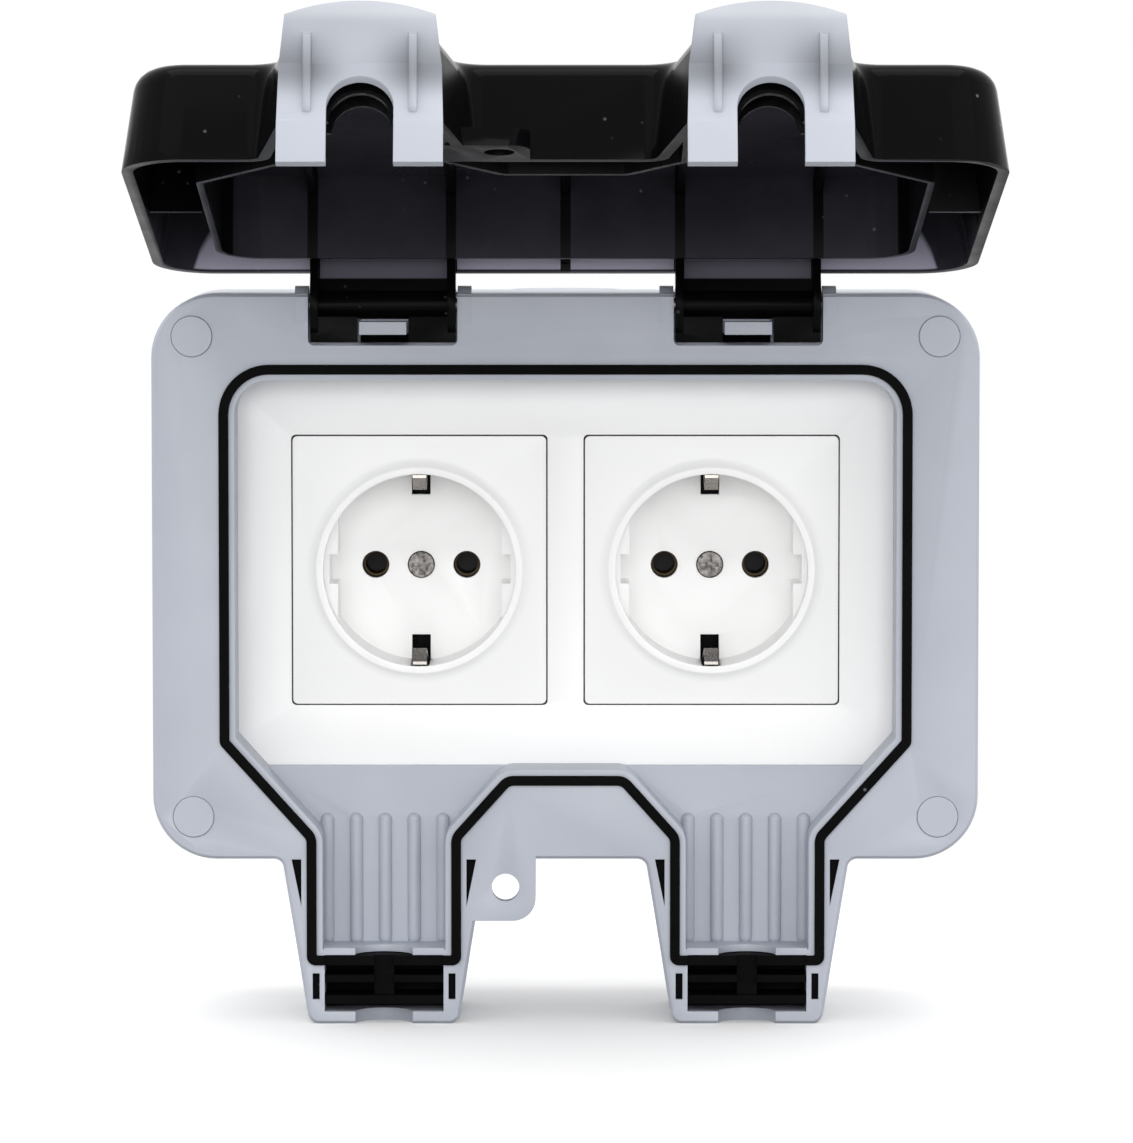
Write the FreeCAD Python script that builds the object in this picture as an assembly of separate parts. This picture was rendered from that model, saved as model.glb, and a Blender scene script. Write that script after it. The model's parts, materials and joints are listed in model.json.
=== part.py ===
"""Outdoor weatherproof double socket with a hinged lid and two cable outlet legs.

Millimetres. X runs to the right, Z runs up, and the wall is the plane y = 0, with the
object in front of it at negative y. The origin is the middle of the back face, level with
the centres of the two sockets. The lid stands open, as the object is shown.
"""
import FreeCAD, Part
import math
import os
from FreeCAD import Vector

# Overall sizes of the housing
front_depth = 58.0          # wall to the front plane of the frame
frame_top = 57.3
frame_bottom = -58.3
corner_radius = 13.0
leg_centre = 37.2
leg_half_top = 20.8         # half width of a leg where it leaves the body
leg_half_end = 15.3
leg_length = 34.0
leg_end_radius = 2.4
leg_root_radius = 2.0

# Walls of the front frame
frame_depth = 33.0
outer_wall = 2.6
face_thick = 4.6
recess_depth = 13.6
recess_wall = 2.0
floor_thick = 2.4
lip_width = 1.2
frame_edge = 0.6

# Gasket loop, given by its outer edge
side_strip = 14.5           # recess beside a socket insert, up to the gasket's outer edge
frame_side = 13.65          # frame beside the gasket loop
gasket_top = 42.9
gasket_corner_radius = 10.3
gasket_side_bottom = -34.7
gasket_leg_half = 15.8
gasket_leg_top = -54.3
gasket_leg_rise = 12.1      # gasket above the end of the leg
gasket_middle_half = 11.4
gasket_middle = -43.2
gasket_width = 2.0
gasket_groove = 3.0
gasket_proud = 0.5
gasket_bend_radius = 1.8

# Cable outlet in each leg
funnel_top = -40.3
outlet_half = 12.2
cross_wall_rise = 15.6      # heights above the end of the leg
cross_wall = 1.4
pocket_rise = 2.5
pocket_depth = 11.0
cable_notch_radius = 5.9
rib_count = 5
rib_pitch = 5.95
rib_width = 2.75
rib_top = -51.4
rib_gap = 0.9
comb_web_half = 2.05
comb_back = 2.0
fin_shares = (0.10, 0.42, 0.79)     # of the pocket's height, from its top
fin_thick = (2.0, 1.5, 1.8)
comb_front = 0.2
comb_slot_depth = 4.0
comb_web_depth = 1.6
slot_depth = 12.0
slot_floor = 2.0
corner_slot_drop = 0.1      # corner slot below the body's lower edge
corner_slot_length = 9.8
corner_slot_inner = 1.1     # from the gasket
corner_slot_outer = 1.9     # from the leg's edge
side_slot_rise = 5.0        # side slot above the end of the leg
side_slot_length = 5.4
side_slot_inner = 1.0       # from the cable outlet
side_slot_width = 1.45

# Padlock tab beside the left leg
tab_end_x = -6.1
tab_bottom = -71.1
tab_thick = 3.4
tab_corner_radius = 4.7
tab_hole_x = -12.3
tab_hole_z = -64.2
tab_hole_radius = 2.85

# Hinge between the frame and the lid
axis_depth = 6.2            # behind the front plane
axis_z = 55.0
notch_half = 15.2
notch_floor_z = 46.8
notch_depth = 16.0
notch_corner = 1.2
boss_width = 2.8
boss_rise = 1.5
boss_proud = 0.2
boss_bottom_z = 51.4
arm_gap = 0.4
hinge_pin_radius = 1.5
hinge_pin_fit = 0.05
frame_bore_gap = 0.02
trough_radius = 10.3        # round floor of the notch, about the hinge axis
trough_wall = 1.8
detent_half = 4.8           # grey finger that bears on the hinge barrel
detent_top_z = 51.6
detent_thick = 2.6
arm_wall = 1.6
arm_panel = 1.6
arm_run = 8.0               # arm's side plates along the lid's wall
barrel_radius = 3.0
foot_forward = 4.8
foot_drop = 7.6
ledge_drop = 2.4

# Screws that hold the frame to the box, and their caps
screw_side = 8.25           # from the frame's sides
screw_end = 8.65            # from its top and bottom
cap_radius = 4.15
cap_thick = 2.2
cap_gap = 0.1
cap_proud = 0.2
screw_head_radius = 3.6
screw_head_height = 2.6
screw_radius = 2.0
screw_length = 34.0
screw_gap = 0.3
screw_fit = 0.06
screw_seat = 1.2            # cap to screw head
pillar_wall = 1.6
slot_half = 0.5

# Back box
box_wall = 2.8
box_inset = 2.0
box_lift = 2.0              # box bottom above the frame's
seal_thick = 1.4
seal_width = 2.2
wall_screw_radius = 2.5
wall_screw_x = 60.0
wall_screw_z = 38.0
entry_radius = 10.4
entry_boss_half = 11.8
entry_boss_height = 1.6
knockout_groove = 0.8

# Face plate and socket inserts
plate_overlap = 2.2
plate_thick = 3.0
plate_pad_z = 24.0
plate_pad_share = 0.16      # pad radius as a share of the strip it stands on
window_gap = 0.3
insert_width = 52.2
insert_apart = 8.0          # between the two socket inserts
insert_height = 55.3
insert_corner = 1.0
insert_rim = 0.4            # height of the insert's face above the plate
ring_outer = 23.35
ring_crest = 21.7
ring_height = 1.0
well_radius = 19.85
well_depth = 17.6
flat_x = 16.9
flat_drop = 4.5
key_half = 3.0
key_x = 18.7
flat_half = 11.5
panel_thick = 2.6
foot_size = 4.0
floor_wall = 2.0
cup_wall = 1.6
pin_spacing = 19.0
pin_hole_radius = 2.82
earth_slot_half = 1.93
earth_slot_radial = 5.2

# Socket mechanism
clip_half = 1.42
clip_thick = 0.6
clip_radius = 16.4          # inner face of the earth clips from the socket's axis
clip_front = 2.0            # how far the clips end below the ring
clip_bend = 4.5
clip_lean = 2.6             # how far the clips lean out from the bend to the tip
clip_root = 20.0
clip_slot_front = 1.2
clip_slot_step = 6.0
strap_drop = 5.0            # strap behind the front of the mechanism base
contact_drop = 2.6
base_half_width = 21.5
base_half_height = 19.5
base_depth = 15.0
contact_radius = 2.7
contact_wall = 0.45
contact_depth = 11.0
strap_half = 2.6
terminal_radius = 1.6
centre_screw_radius = 2.6
centre_screw_gap = 0.2
cross_half = 0.45
cross_reach = 1.9
cross_depth = 1.5
terminal_x = 12.0
terminal_share = 0.6        # terminals behind the base's front, as a share of its depth
channel_gap = 0.2
centre_screw_shank = 1.6
yoke_thick = 1.2
yoke_half_height = 27.0
yoke_gap = 4.7              # yoke inside the gasket's outer edge
yoke_screw_inset = 5.7
yoke_screw_radius = 1.75
yoke_head_radius = 3.2
yoke_head_height = 1.6
yoke_head_slot = 0.7        # depth of the slot in the head
yoke_screw_grip = 8.0       # length of the screw in the box
yoke_window_half = 22.0
yoke_window_corner = 2.0
yoke_pillar_radius = 4.2
yoke_space = 2.0            # behind the face plate

# Lid, sized in its closed position
lid_inset = 0.5
lid_gap = 0.5               # rim to the frame's front plane
lid_depth = 20.0
lid_draft = 8.0
lid_wall = 2.2
lid_front_wall = 2.4
lid_edge_radius = 4.0
lid_edge_steps = 5
lid_open_angle = 102.2
rib_thick = 1.3
seal_rib_gap = 0.3          # sealing rib to the gasket, with the lid closed
stiffener_height = 4.0
wall_rib_height = 4.0
wall_rib_gap = 1.5
stiffener_end = 10.2        # above the gasket's end in the leg
side_web_drop = 1.5         # below the lid's rim
lid_tab_thick = 3.4

# Latches, sized in their closed position
latch_pin_forward = 13.2    # in front of the front plane
latch_pin_rise = 3.5        # above the end of the leg
latch_pin_radius = 1.2
latch_knuckle_radius = 2.7
latch_knuckle_half = 10.4
latch_neck_sink = 1.4       # neck of the knuckle into the latch's plate
latch_pin_half = 12.8
latch_cheek_gap = 0.35
latch_half_end = 15.1
latch_half_crease = 14.8
latch_half_top = 13.7
latch_thick = 1.7
latch_gap = 0.4             # inner face of the prongs to the underside of the leg
latch_reach = 9.2           # how far the prongs hook behind the front plane
latch_knee = 1.15           # top of the prongs' pads behind the front plane
latch_crease = 10.0         # forward of the front plane
latch_hollow = 0.9          # crease nearer the leg than the pads
latch_tab_forward = 20.3
latch_flare = 4.2
latch_crown = 2.2           # rise of the finger tab's curved edge
latch_notch_half = 6.1
latch_notch_top = 6.95
latch_notch_lean = 0.65     # lean of the notch's wall, for each mm of thickness
hook_height = 1.1
hook_length = 1.8
catch_gap = 0.35
latch_rest_angle = 8.0
latch_rib_x = 9.6
latch_rib_thick = 1.5
latch_rib_low = 0.4
latch_rib_high = 15.2
latch_rib_proud = 0.9
catch_room = 0.6

# Values that follow from the ones above
front_y = -front_depth
socket_spacing = insert_width + insert_apart
gasket_half_width = (socket_spacing + insert_width) / 2 + side_strip
half_width = gasket_half_width + frame_side
leg_bottom = frame_bottom - leg_length
gasket_leg_bottom = leg_bottom + gasket_leg_rise
cross_wall_top = leg_bottom + cross_wall_rise
pocket_bottom = leg_bottom + pocket_rise
rib_bottom = cross_wall_top + rib_gap
latch_pin_z = leg_bottom + latch_pin_rise
screw_x = half_width - screw_side
screw_top_z = frame_top - screw_end
screw_bottom_z = frame_bottom + screw_end
box_bottom = frame_bottom + box_lift
yoke_half_width = gasket_half_width - yoke_gap
yoke_screw_x = yoke_half_width - yoke_screw_inset
plate_y = front_y + recess_depth
frame_back_y = front_y + frame_depth
axis_y = front_y + axis_depth
SIDES = {"left": -1, "right": 1}


def box(x0, x1, y0, y1, z0, z1):
    """Makes a block between the given limits."""
    return Part.makeBox(x1 - x0, y1 - y0, z1 - z0, Vector(x0, y0, z0))


def rod_y(x, z, radius, y0, y1):
    """Makes a cylinder along Y."""
    return Part.makeCylinder(radius, y1 - y0, Vector(x, y0, z), Vector(0, 1, 0))


def rod_x(y, z, radius, x0, x1):
    """Makes a cylinder along X."""
    return Part.makeCylinder(radius, x1 - x0, Vector(x0, y, z), Vector(1, 0, 0))


def ring_y(x, z, inner, outer, y0, y1):
    """Makes a tube along Y."""
    return rod_y(x, z, outer, y0, y1).cut(rod_y(x, z, inner, y0 - 1, y1 + 1))


def inset_corners(corners, inset):
    """Moves every side of a clockwise outline inward and follows its corner radii."""
    moved = []
    count = len(corners)
    for i, (x, z, radius) in enumerate(corners):
        before = corners[i - 1]
        after = corners[(i + 1) % count]
        a = Vector(x - before[0], 0, z - before[1]).normalize()
        b = Vector(after[0] - x, 0, after[1] - z).normalize()
        normal_a = Vector(a.z, 0, -a.x)
        normal_b = Vector(b.z, 0, -b.x)
        turn = a.z * b.x - a.x * b.z
        share = inset / (1 + normal_a.dot(normal_b))
        centre = Vector(x, 0, z) + (normal_a + normal_b) * share
        grown = radius - inset if turn > 0 else radius + inset
        moved.append((centre.x, centre.z, max(grown, 0.3)))
    return moved


def outline_wire(corners, y):
    """Makes a closed wire in the plane at y, with an arc at each corner."""
    count = len(corners)
    arcs = []
    for i, (x, z, radius) in enumerate(corners):
        corner = Vector(x, y, z)
        before = Vector(corners[i - 1][0], y, corners[i - 1][1])
        after = Vector(corners[(i + 1) % count][0], y, corners[(i + 1) % count][1])
        a = (before - corner).normalize()
        b = (after - corner).normalize()
        half = a.getAngle(b) / 2
        reach = radius / math.tan(half)
        middle = corner + (a + b).normalize() * (radius / math.sin(half) - radius)
        arcs.append((corner + a * reach, middle, corner + b * reach))
    edges = []
    for i, (start, middle, end) in enumerate(arcs):
        edges.append(Part.Arc(start, middle, end).toShape())
        edges.append(Part.makeLine(end, arcs[(i + 1) % count][0]))
    return Part.Wire(edges)


def prism(corners, y0, y1, inset=0.0):
    """Extrudes an outline along Y."""
    wire = outline_wire(inset_corners(corners, inset), y0)
    return Part.Face(wire).extrude(Vector(0, y1 - y0, 0))


def rounded_rectangle(x0, x1, z0, z1, radius):
    """Gives the corners of a rectangle, clockwise as seen from the front."""
    return [(x0, z1, radius), (x1, z1, radius), (x1, z0, radius), (x0, z0, radius)]


def plate_yz(points, x0, x1):
    """Extrudes a polygon given as (y, z) points along X."""
    corners = [Vector(x0, y, z) for y, z in points]
    return Part.Face(Part.makePolygon(corners + corners[:1])).extrude(Vector(x1 - x0, 0, 0))


def body_outline():
    """Gives the front outline of the housing with its two legs, clockwise."""
    right = [
        (half_width, frame_top, corner_radius),
        (half_width, frame_bottom, corner_radius),
        (leg_centre + leg_half_top, frame_bottom, leg_root_radius),
        (leg_centre + leg_half_end, leg_bottom, leg_end_radius),
        (leg_centre - leg_half_end, leg_bottom, leg_end_radius),
        (leg_centre - leg_half_top, frame_bottom, leg_root_radius),
    ]
    return right + [(-x, z, r) for x, z, r in reversed(right)]


def gasket_outline():
    """Gives the outer edge of the gasket loop, clockwise."""
    right = [
        (gasket_half_width, gasket_top, gasket_corner_radius),
        (gasket_half_width, gasket_side_bottom, gasket_bend_radius),
        (leg_centre + gasket_leg_half, gasket_leg_top, gasket_bend_radius),
        (leg_centre + gasket_leg_half, gasket_leg_bottom, gasket_bend_radius),
        (leg_centre - gasket_leg_half, gasket_leg_bottom, gasket_bend_radius),
        (leg_centre - gasket_leg_half, gasket_leg_top, gasket_bend_radius),
        (gasket_middle_half, gasket_middle, gasket_bend_radius),
    ]
    return right + [(-x, z, r) for x, z, r in reversed(right)]


def recess_outline():
    """Gives the inner wall line of the recess, clockwise, one lip inside the gasket."""
    return inset_corners(gasket_outline(), gasket_width + lip_width)


# Front frame
def frame_shell():
    """Makes the frame's skin, its recess walls and the floor of the leg funnels."""
    outer = body_outline()
    shell = prism(outer, front_y, frame_back_y)
    rim = [edge for edge in shell.Edges if edge.BoundBox.YMax < front_y + 1e-6]
    shell = shell.makeChamfer(frame_edge, rim)
    hollow = prism(outer, front_y + face_thick, frame_back_y + 1, outer_wall)
    core = prism(recess_outline(), front_y, plate_y, -recess_wall)
    shell = shell.cut(hollow.cut(core))
    recess = prism(recess_outline(), front_y - 1, plate_y - floor_thick)
    shell = shell.cut(recess)
    window = box(-half_width, half_width, plate_y - floor_thick - 1, plate_y + 9,
                 funnel_top, frame_top)
    window = window.common(prism(recess_outline(), front_y, frame_back_y))
    return shell.cut(window)


def leg_outlet(side):
    """Gives what is cut from and added to the frame at one leg's cable outlet."""
    x = SIDES[side] * leg_centre
    pocket = box(x - outlet_half, x + outlet_half, front_y - 1, front_y + pocket_depth,
                 pocket_bottom, cross_wall_top - cross_wall)
    notch = rod_like_notch(x, leg_bottom - 1, cross_wall_top + 1)
    ribs = []
    for i in range(rib_count):
        rib_x = x + (i - (rib_count - 1) / 2) * rib_pitch
        radius = rib_width / 2
        floor_y = plate_y - floor_thick
        column = Part.makeCylinder(radius, rib_top - rib_bottom,
                                   Vector(rib_x, floor_y, rib_bottom), Vector(0, 0, 1))
        ends = [Part.makeSphere(radius, Vector(rib_x, floor_y, z)) for z in (rib_top, rib_bottom)]
        ribs.append(column.multiFuse(ends))
    limit = prism(recess_outline(), front_y, plate_y, -0.1)
    wall = box(x - outlet_half - 0.1, x + outlet_half + 0.1, front_y, plate_y,
               cross_wall_top - cross_wall, cross_wall_top)
    added = [rib.common(limit) for rib in ribs] + [wall]
    return pocket, notch, added


def rod_like_notch(x, z0, z1):
    """Makes the half round cable passage that runs down through the leg's end walls."""
    return Part.makeCylinder(cable_notch_radius, z1 - z0, Vector(x, front_y, z0), Vector(0, 0, 1))


def leg_slots(side):
    """Gives the corner and side slots in a leg's face, and the blocks that close them."""
    cuts, blocks = [], []
    x = SIDES[side] * leg_centre
    top = frame_bottom - corner_slot_drop
    low = leg_bottom + side_slot_rise
    for way in (-1, 1):
        inner = x + way * (gasket_leg_half + corner_slot_inner)
        outer = x + way * (leg_half_top - corner_slot_outer)
        triangle = [(inner, top), (outer, top), (inner, top - corner_slot_length)]
        corners = [Vector(px, front_y - 1, pz) for px, pz in triangle]
        face = Part.Face(Part.makePolygon(corners + corners[:1]))
        cuts.append(face.extrude(Vector(0, slot_depth + 1, 0)))
        near, far = sorted((inner - way * outer_wall, outer + way * outer_wall))
        blocks.append(box(near, far, front_y + slot_floor, front_y + slot_depth + slot_floor,
                          top - corner_slot_length - slot_floor, top + slot_floor))
        near, far = sorted((x + way * (outlet_half + side_slot_inner),
                            x + way * (outlet_half + side_slot_inner + side_slot_width)))
        cuts.append(box(near, far, front_y - 1, front_y + slot_depth, low,
                        low + side_slot_length))
    return cuts, blocks


def lock_tab():
    """Makes the padlock tab beside the left leg."""
    left = -leg_centre + leg_half_end
    corners = [(left, frame_bottom + 1, 0.3), (tab_end_x, frame_bottom + 1, 0.3),
               (tab_end_x, tab_bottom, tab_corner_radius), (left, tab_bottom, 0.3)]
    tab = prism(corners, front_y, front_y + tab_thick)
    hole = rod_y(tab_hole_x, tab_hole_z, tab_hole_radius, front_y - 1, front_y + tab_thick + 1)
    return tab, hole


def hinge_notch(side):
    """Gives a hinge arm's notch, the walls and bosses round it, the detent and the bore."""
    x = SIDES[side] * leg_centre
    outside = notch_half + boss_width
    corners = [(x - notch_half, frame_top + 5, 0.3), (x + notch_half, frame_top + 5, 0.3),
               (x + notch_half, notch_floor_z, notch_corner),
               (x - notch_half, notch_floor_z, notch_corner)]
    notch = prism(corners, front_y - 1, front_y + notch_depth)
    trough = rod_x(axis_y, axis_z, trough_radius, x - notch_half, x + notch_half)
    notch = notch.fuse(trough.common(box(x - 30, x + 30, front_y + frame_edge, frame_back_y,
                                         axis_z - 20, axis_z)))
    cradle = prism(corners, front_y + 0.5, front_y + notch_depth + outer_wall, -boss_width)
    cradle = cradle.fuse(rod_x(axis_y, axis_z, trough_radius + trough_wall, x - outside,
                               x + outside))
    cradle = cradle.common(box(x - outside, x + outside, front_y + 0.5, frame_back_y,
                               axis_z - trough_radius - trough_wall, frame_top))
    bosses = rod_x(axis_y, axis_z, frame_top + boss_rise - axis_z, x - outside, x + outside)
    pads = box(x - outside, x + outside, front_y - boss_proud, front_y + 1,
               boss_bottom_z, frame_top - frame_edge)
    detent = box(x - detent_half, x + detent_half, front_y, front_y + notch_depth + 1,
                 detent_top_z - detent_thick, detent_top_z)
    bore = rod_x(axis_y, axis_z, hinge_pin_radius + frame_bore_gap, x - outside, x + outside)
    return notch, cradle.fuse(bosses).fuse(pads), detent, bore


def screw_places():
    """Gives the name and the place of each frame screw."""
    return {
        "top_left": (-screw_x, screw_top_z), "top_right": (screw_x, screw_top_z),
        "bottom_left": (-screw_x, screw_bottom_z), "bottom_right": (screw_x, screw_bottom_z),
    }


def make_front_frame():
    """Makes the frame as one moulding."""
    frame = frame_shell()
    tab, tab_hole = lock_tab()
    frame = frame.fuse(tab).cut(tab_hole)
    for side in SIDES:
        pocket, notch, added = leg_outlet(side)
        x = SIDES[side] * leg_centre
        backing = box(x - outlet_half - 4, x + outlet_half + 4, front_y + 2, front_y + pocket_depth + 2,
                      leg_bottom + 1, cross_wall_top)
        backing = backing.common(prism(body_outline(), front_y, frame_back_y, 0.5))
        frame = frame.fuse(backing).cut(pocket).multiFuse(added).cut(notch)
        frame = frame.cut(catch_recess(side))
        cuts, blocks = leg_slots(side)
        room = prism(body_outline(), front_y, frame_back_y, frame_edge)
        room = room.cut(prism(recess_outline(), front_y - 1, plate_y - floor_thick))
        frame = frame.multiFuse([block.common(room) for block in blocks])
        for cut in cuts:
            frame = frame.cut(cut)
        hinge, bosses, detent, bore = hinge_notch(side)
        frame = frame.fuse(bosses).cut(hinge).fuse(detent).cut(bore)
    groove = prism(gasket_outline(), front_y - 1, front_y + gasket_groove)
    groove = groove.cut(prism(gasket_outline(), front_y - 2, front_y + gasket_groove + 1,
                              gasket_width))
    frame = frame.cut(groove)
    for x, z in screw_places().values():
        pillar = rod_y(x, z, cap_radius + pillar_wall, front_y + 1, frame_back_y)
        pillar = pillar.common(prism(body_outline(), front_y, frame_back_y))
        frame = frame.fuse(pillar)
        frame = frame.cut(rod_y(x, z, cap_radius + cap_gap, front_y - 1,
                                front_y + cap_thick + screw_head_height + screw_seat))
        frame = frame.cut(rod_y(x, z, screw_radius + screw_gap, front_y, frame_back_y + 1))
    return frame.removeSplitter()


def catch_recess(side):
    """Makes the recess under a leg that the latch hooks into."""
    x = SIDES[side] * leg_centre
    y1 = front_y + latch_reach + catch_room
    y0 = y1 - hook_length - 2 * catch_room
    top = leg_bottom - latch_gap + hook_height + catch_gap
    return box(x - leg_half_end - 2, x + leg_half_end + 2, y0, y1, leg_bottom - 1, top)


def make_gasket():
    """Makes the rubber gasket loop, with the comb seals that close the cable outlets."""
    outer = prism(gasket_outline(), front_y - gasket_proud, front_y + gasket_groove)
    loop = outer.cut(prism(gasket_outline(), front_y - 5, front_y + gasket_groove + 1,
                           gasket_width))
    for side in SIDES:
        x = SIDES[side] * leg_centre
        loop = loop.cut(box(x - outlet_half + 0.05, x + outlet_half - 0.05, front_y - 2, 0,
                            gasket_leg_bottom - 1, gasket_leg_bottom + gasket_width + 1))
        loop = loop.fuse(make_comb(x))
    return loop.removeSplitter()


def make_comb(x):
    """Makes the comb seal in one cable outlet."""
    left, right = x - outlet_half, x + outlet_half
    top = cross_wall_top - cross_wall
    back = front_y + pocket_depth
    levels = [top - share * (top - pocket_bottom) for share in fin_shares]
    pieces = [box(left, right, back - comb_back, back, pocket_bottom, top)]
    for level, thick in zip(levels, fin_thick):
        pieces.append(box(left, right, front_y + comb_front, back - 1, level - thick / 2,
                          level + thick / 2))
    comb = pieces[0].multiFuse(pieces[1:])
    slot = box(x - comb_web_half, x + comb_web_half, front_y - 1, front_y + comb_slot_depth,
               levels[1] - fin_thick[1], top)
    web = box(x - comb_web_half, x + comb_web_half, front_y + comb_web_depth, back - 1,
              levels[2], levels[0] + fin_thick[0] / 2)
    return comb.cut(slot).fuse(web)


def make_cap(x, z):
    """Makes one plug that covers a frame screw."""
    cap = rod_y(x, z, cap_radius, front_y - cap_proud, front_y + cap_thick)
    rim = [edge for edge in cap.Edges if abs(edge.BoundBox.YMax - (front_y - cap_proud)) < 1e-6]
    return cap.makeChamfer(0.15, rim)


def make_frame_screw(x, z):
    """Makes one pan head screw that holds the frame to the box."""
    head_y = front_y + cap_thick + screw_seat
    head = rod_y(x, z, screw_head_radius, head_y, head_y + screw_head_height)
    shank = rod_y(x, z, screw_radius, head_y + screw_head_height, head_y + screw_length)
    slot = box(x - screw_head_radius, x + screw_head_radius, head_y - 1, head_y + 1.0,
               z - slot_half, z + slot_half)
    cross = box(x - slot_half, x + slot_half, head_y - 1, head_y + 1.0,
                z - screw_head_radius, z + screw_head_radius)
    return head.fuse(shank).cut(slot).cut(cross)


# Back box behind the frame
def make_back_box():
    """Makes the wall box with its screw pillars, fixing holes and cable entries."""
    outline = rounded_rectangle(-half_width + box_inset, half_width - box_inset,
                                box_bottom, frame_top - box_inset, corner_radius - box_inset)
    front = frame_back_y + seal_thick
    shell = prism(outline, front, 0)
    shell = shell.cut(prism(outline, front - 1, -box_wall, box_wall))
    for x, z in screw_places().values():
        pillar = rod_y(x, z, cap_radius + pillar_wall, front, -1)
        shell = shell.fuse(pillar.common(prism(outline, front, 0)))
        depth = front_y + cap_thick + screw_seat + screw_length + 1
        shell = shell.cut(rod_y(x, z, screw_radius + screw_fit, front - 1, depth))
    for x in (-yoke_screw_x, yoke_screw_x):
        shell = shell.fuse(rod_y(x, 0, yoke_pillar_radius, yoke_back_y(), -1))
        shell = shell.cut(rod_y(x, 0, yoke_screw_radius + screw_fit, yoke_back_y() - 1,
                                yoke_back_y() + 10))
    for x in (-wall_screw_x, wall_screw_x):
        for z in (-wall_screw_z, wall_screw_z):
            shell = shell.cut(rod_y(x, z, wall_screw_radius, -box_wall - 1, 1))
    middle = front / 2
    top = frame_top - box_inset
    for z, way in ((top, 1), (box_bottom, -1)):
        boss = Part.makeCylinder(entry_boss_half, entry_boss_height + 1,
                                 Vector(0, middle, z - way), Vector(0, 0, way))
        boss = boss.common(box(-20, 20, front, 0, z - 5, z + 5))
        shell = shell.fuse(boss)
        groove = Part.makeCylinder(entry_radius + knockout_groove / 2, entry_boss_height,
                                   Vector(0, middle, z + way * (entry_boss_height + 0.6)),
                                   Vector(0, 0, -way))
        core = Part.makeCylinder(entry_radius - knockout_groove / 2, 20,
                                 Vector(0, middle, z - way * 10), Vector(0, 0, way))
        shell = shell.cut(groove.cut(core))
    return shell.removeSplitter()


def make_box_seal():
    """Makes the flat seal between the back box and the frame."""
    outline = rounded_rectangle(-half_width + box_inset, half_width - box_inset,
                                box_bottom, frame_top - box_inset, corner_radius - box_inset)
    seal = prism(outline, frame_back_y, frame_back_y + seal_thick, 0.2)
    seal = seal.cut(prism(outline, frame_back_y - 1, frame_back_y + seal_thick + 1, seal_width))
    for x, z in screw_places().values():
        seal = seal.cut(rod_y(x, z, screw_radius + screw_gap + 0.2, frame_back_y - 1, 0))
    return seal


def yoke_back_y():
    """Gives the back face of the steel yoke that carries the sockets."""
    return plate_y + plate_thick + yoke_space + yoke_thick


# Face plate and socket inserts
def make_face_plate():
    """Makes the white plate behind the recess, with a window for each socket insert."""
    half = gasket_half_width - gasket_width - lip_width + plate_overlap - 0.5
    top = gasket_top - gasket_width - lip_width + plate_overlap - 0.5
    corner = gasket_corner_radius - gasket_width - lip_width + plate_overlap
    plate = prism(rounded_rectangle(-half, half, funnel_top - plate_overlap, top, corner),
                  plate_y, plate_y + plate_thick)
    for side in SIDES:
        x = SIDES[side] * socket_spacing / 2
        window = rounded_rectangle(x - insert_width / 2 - window_gap,
                                   x + insert_width / 2 + window_gap,
                                   -insert_height / 2 - window_gap,
                                   insert_height / 2 + window_gap, insert_corner)
        plate = plate.cut(prism(window, plate_y - 1, plate_y + plate_thick + 1))
    window_edge = (socket_spacing + insert_width) / 2 + window_gap
    pad_radius = (half - window_edge) * plate_pad_share
    for x in (-(half + window_edge) / 2, (half + window_edge) / 2):
        for z in (-plate_pad_z, plate_pad_z):
            plate = plate.fuse(rod_y(x, z, pad_radius, plate_y + plate_thick, yoke_front_y()))
    return plate


def yoke_front_y():
    """Gives the front face of the steel yoke."""
    return yoke_back_y() - yoke_thick


def ring_front_y():
    """Gives the front of the raised ring round each socket well."""
    return plate_y - insert_rim - ring_height


def well_floor_y():
    """Gives the floor of the socket wells."""
    return ring_front_y() + well_depth


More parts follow.
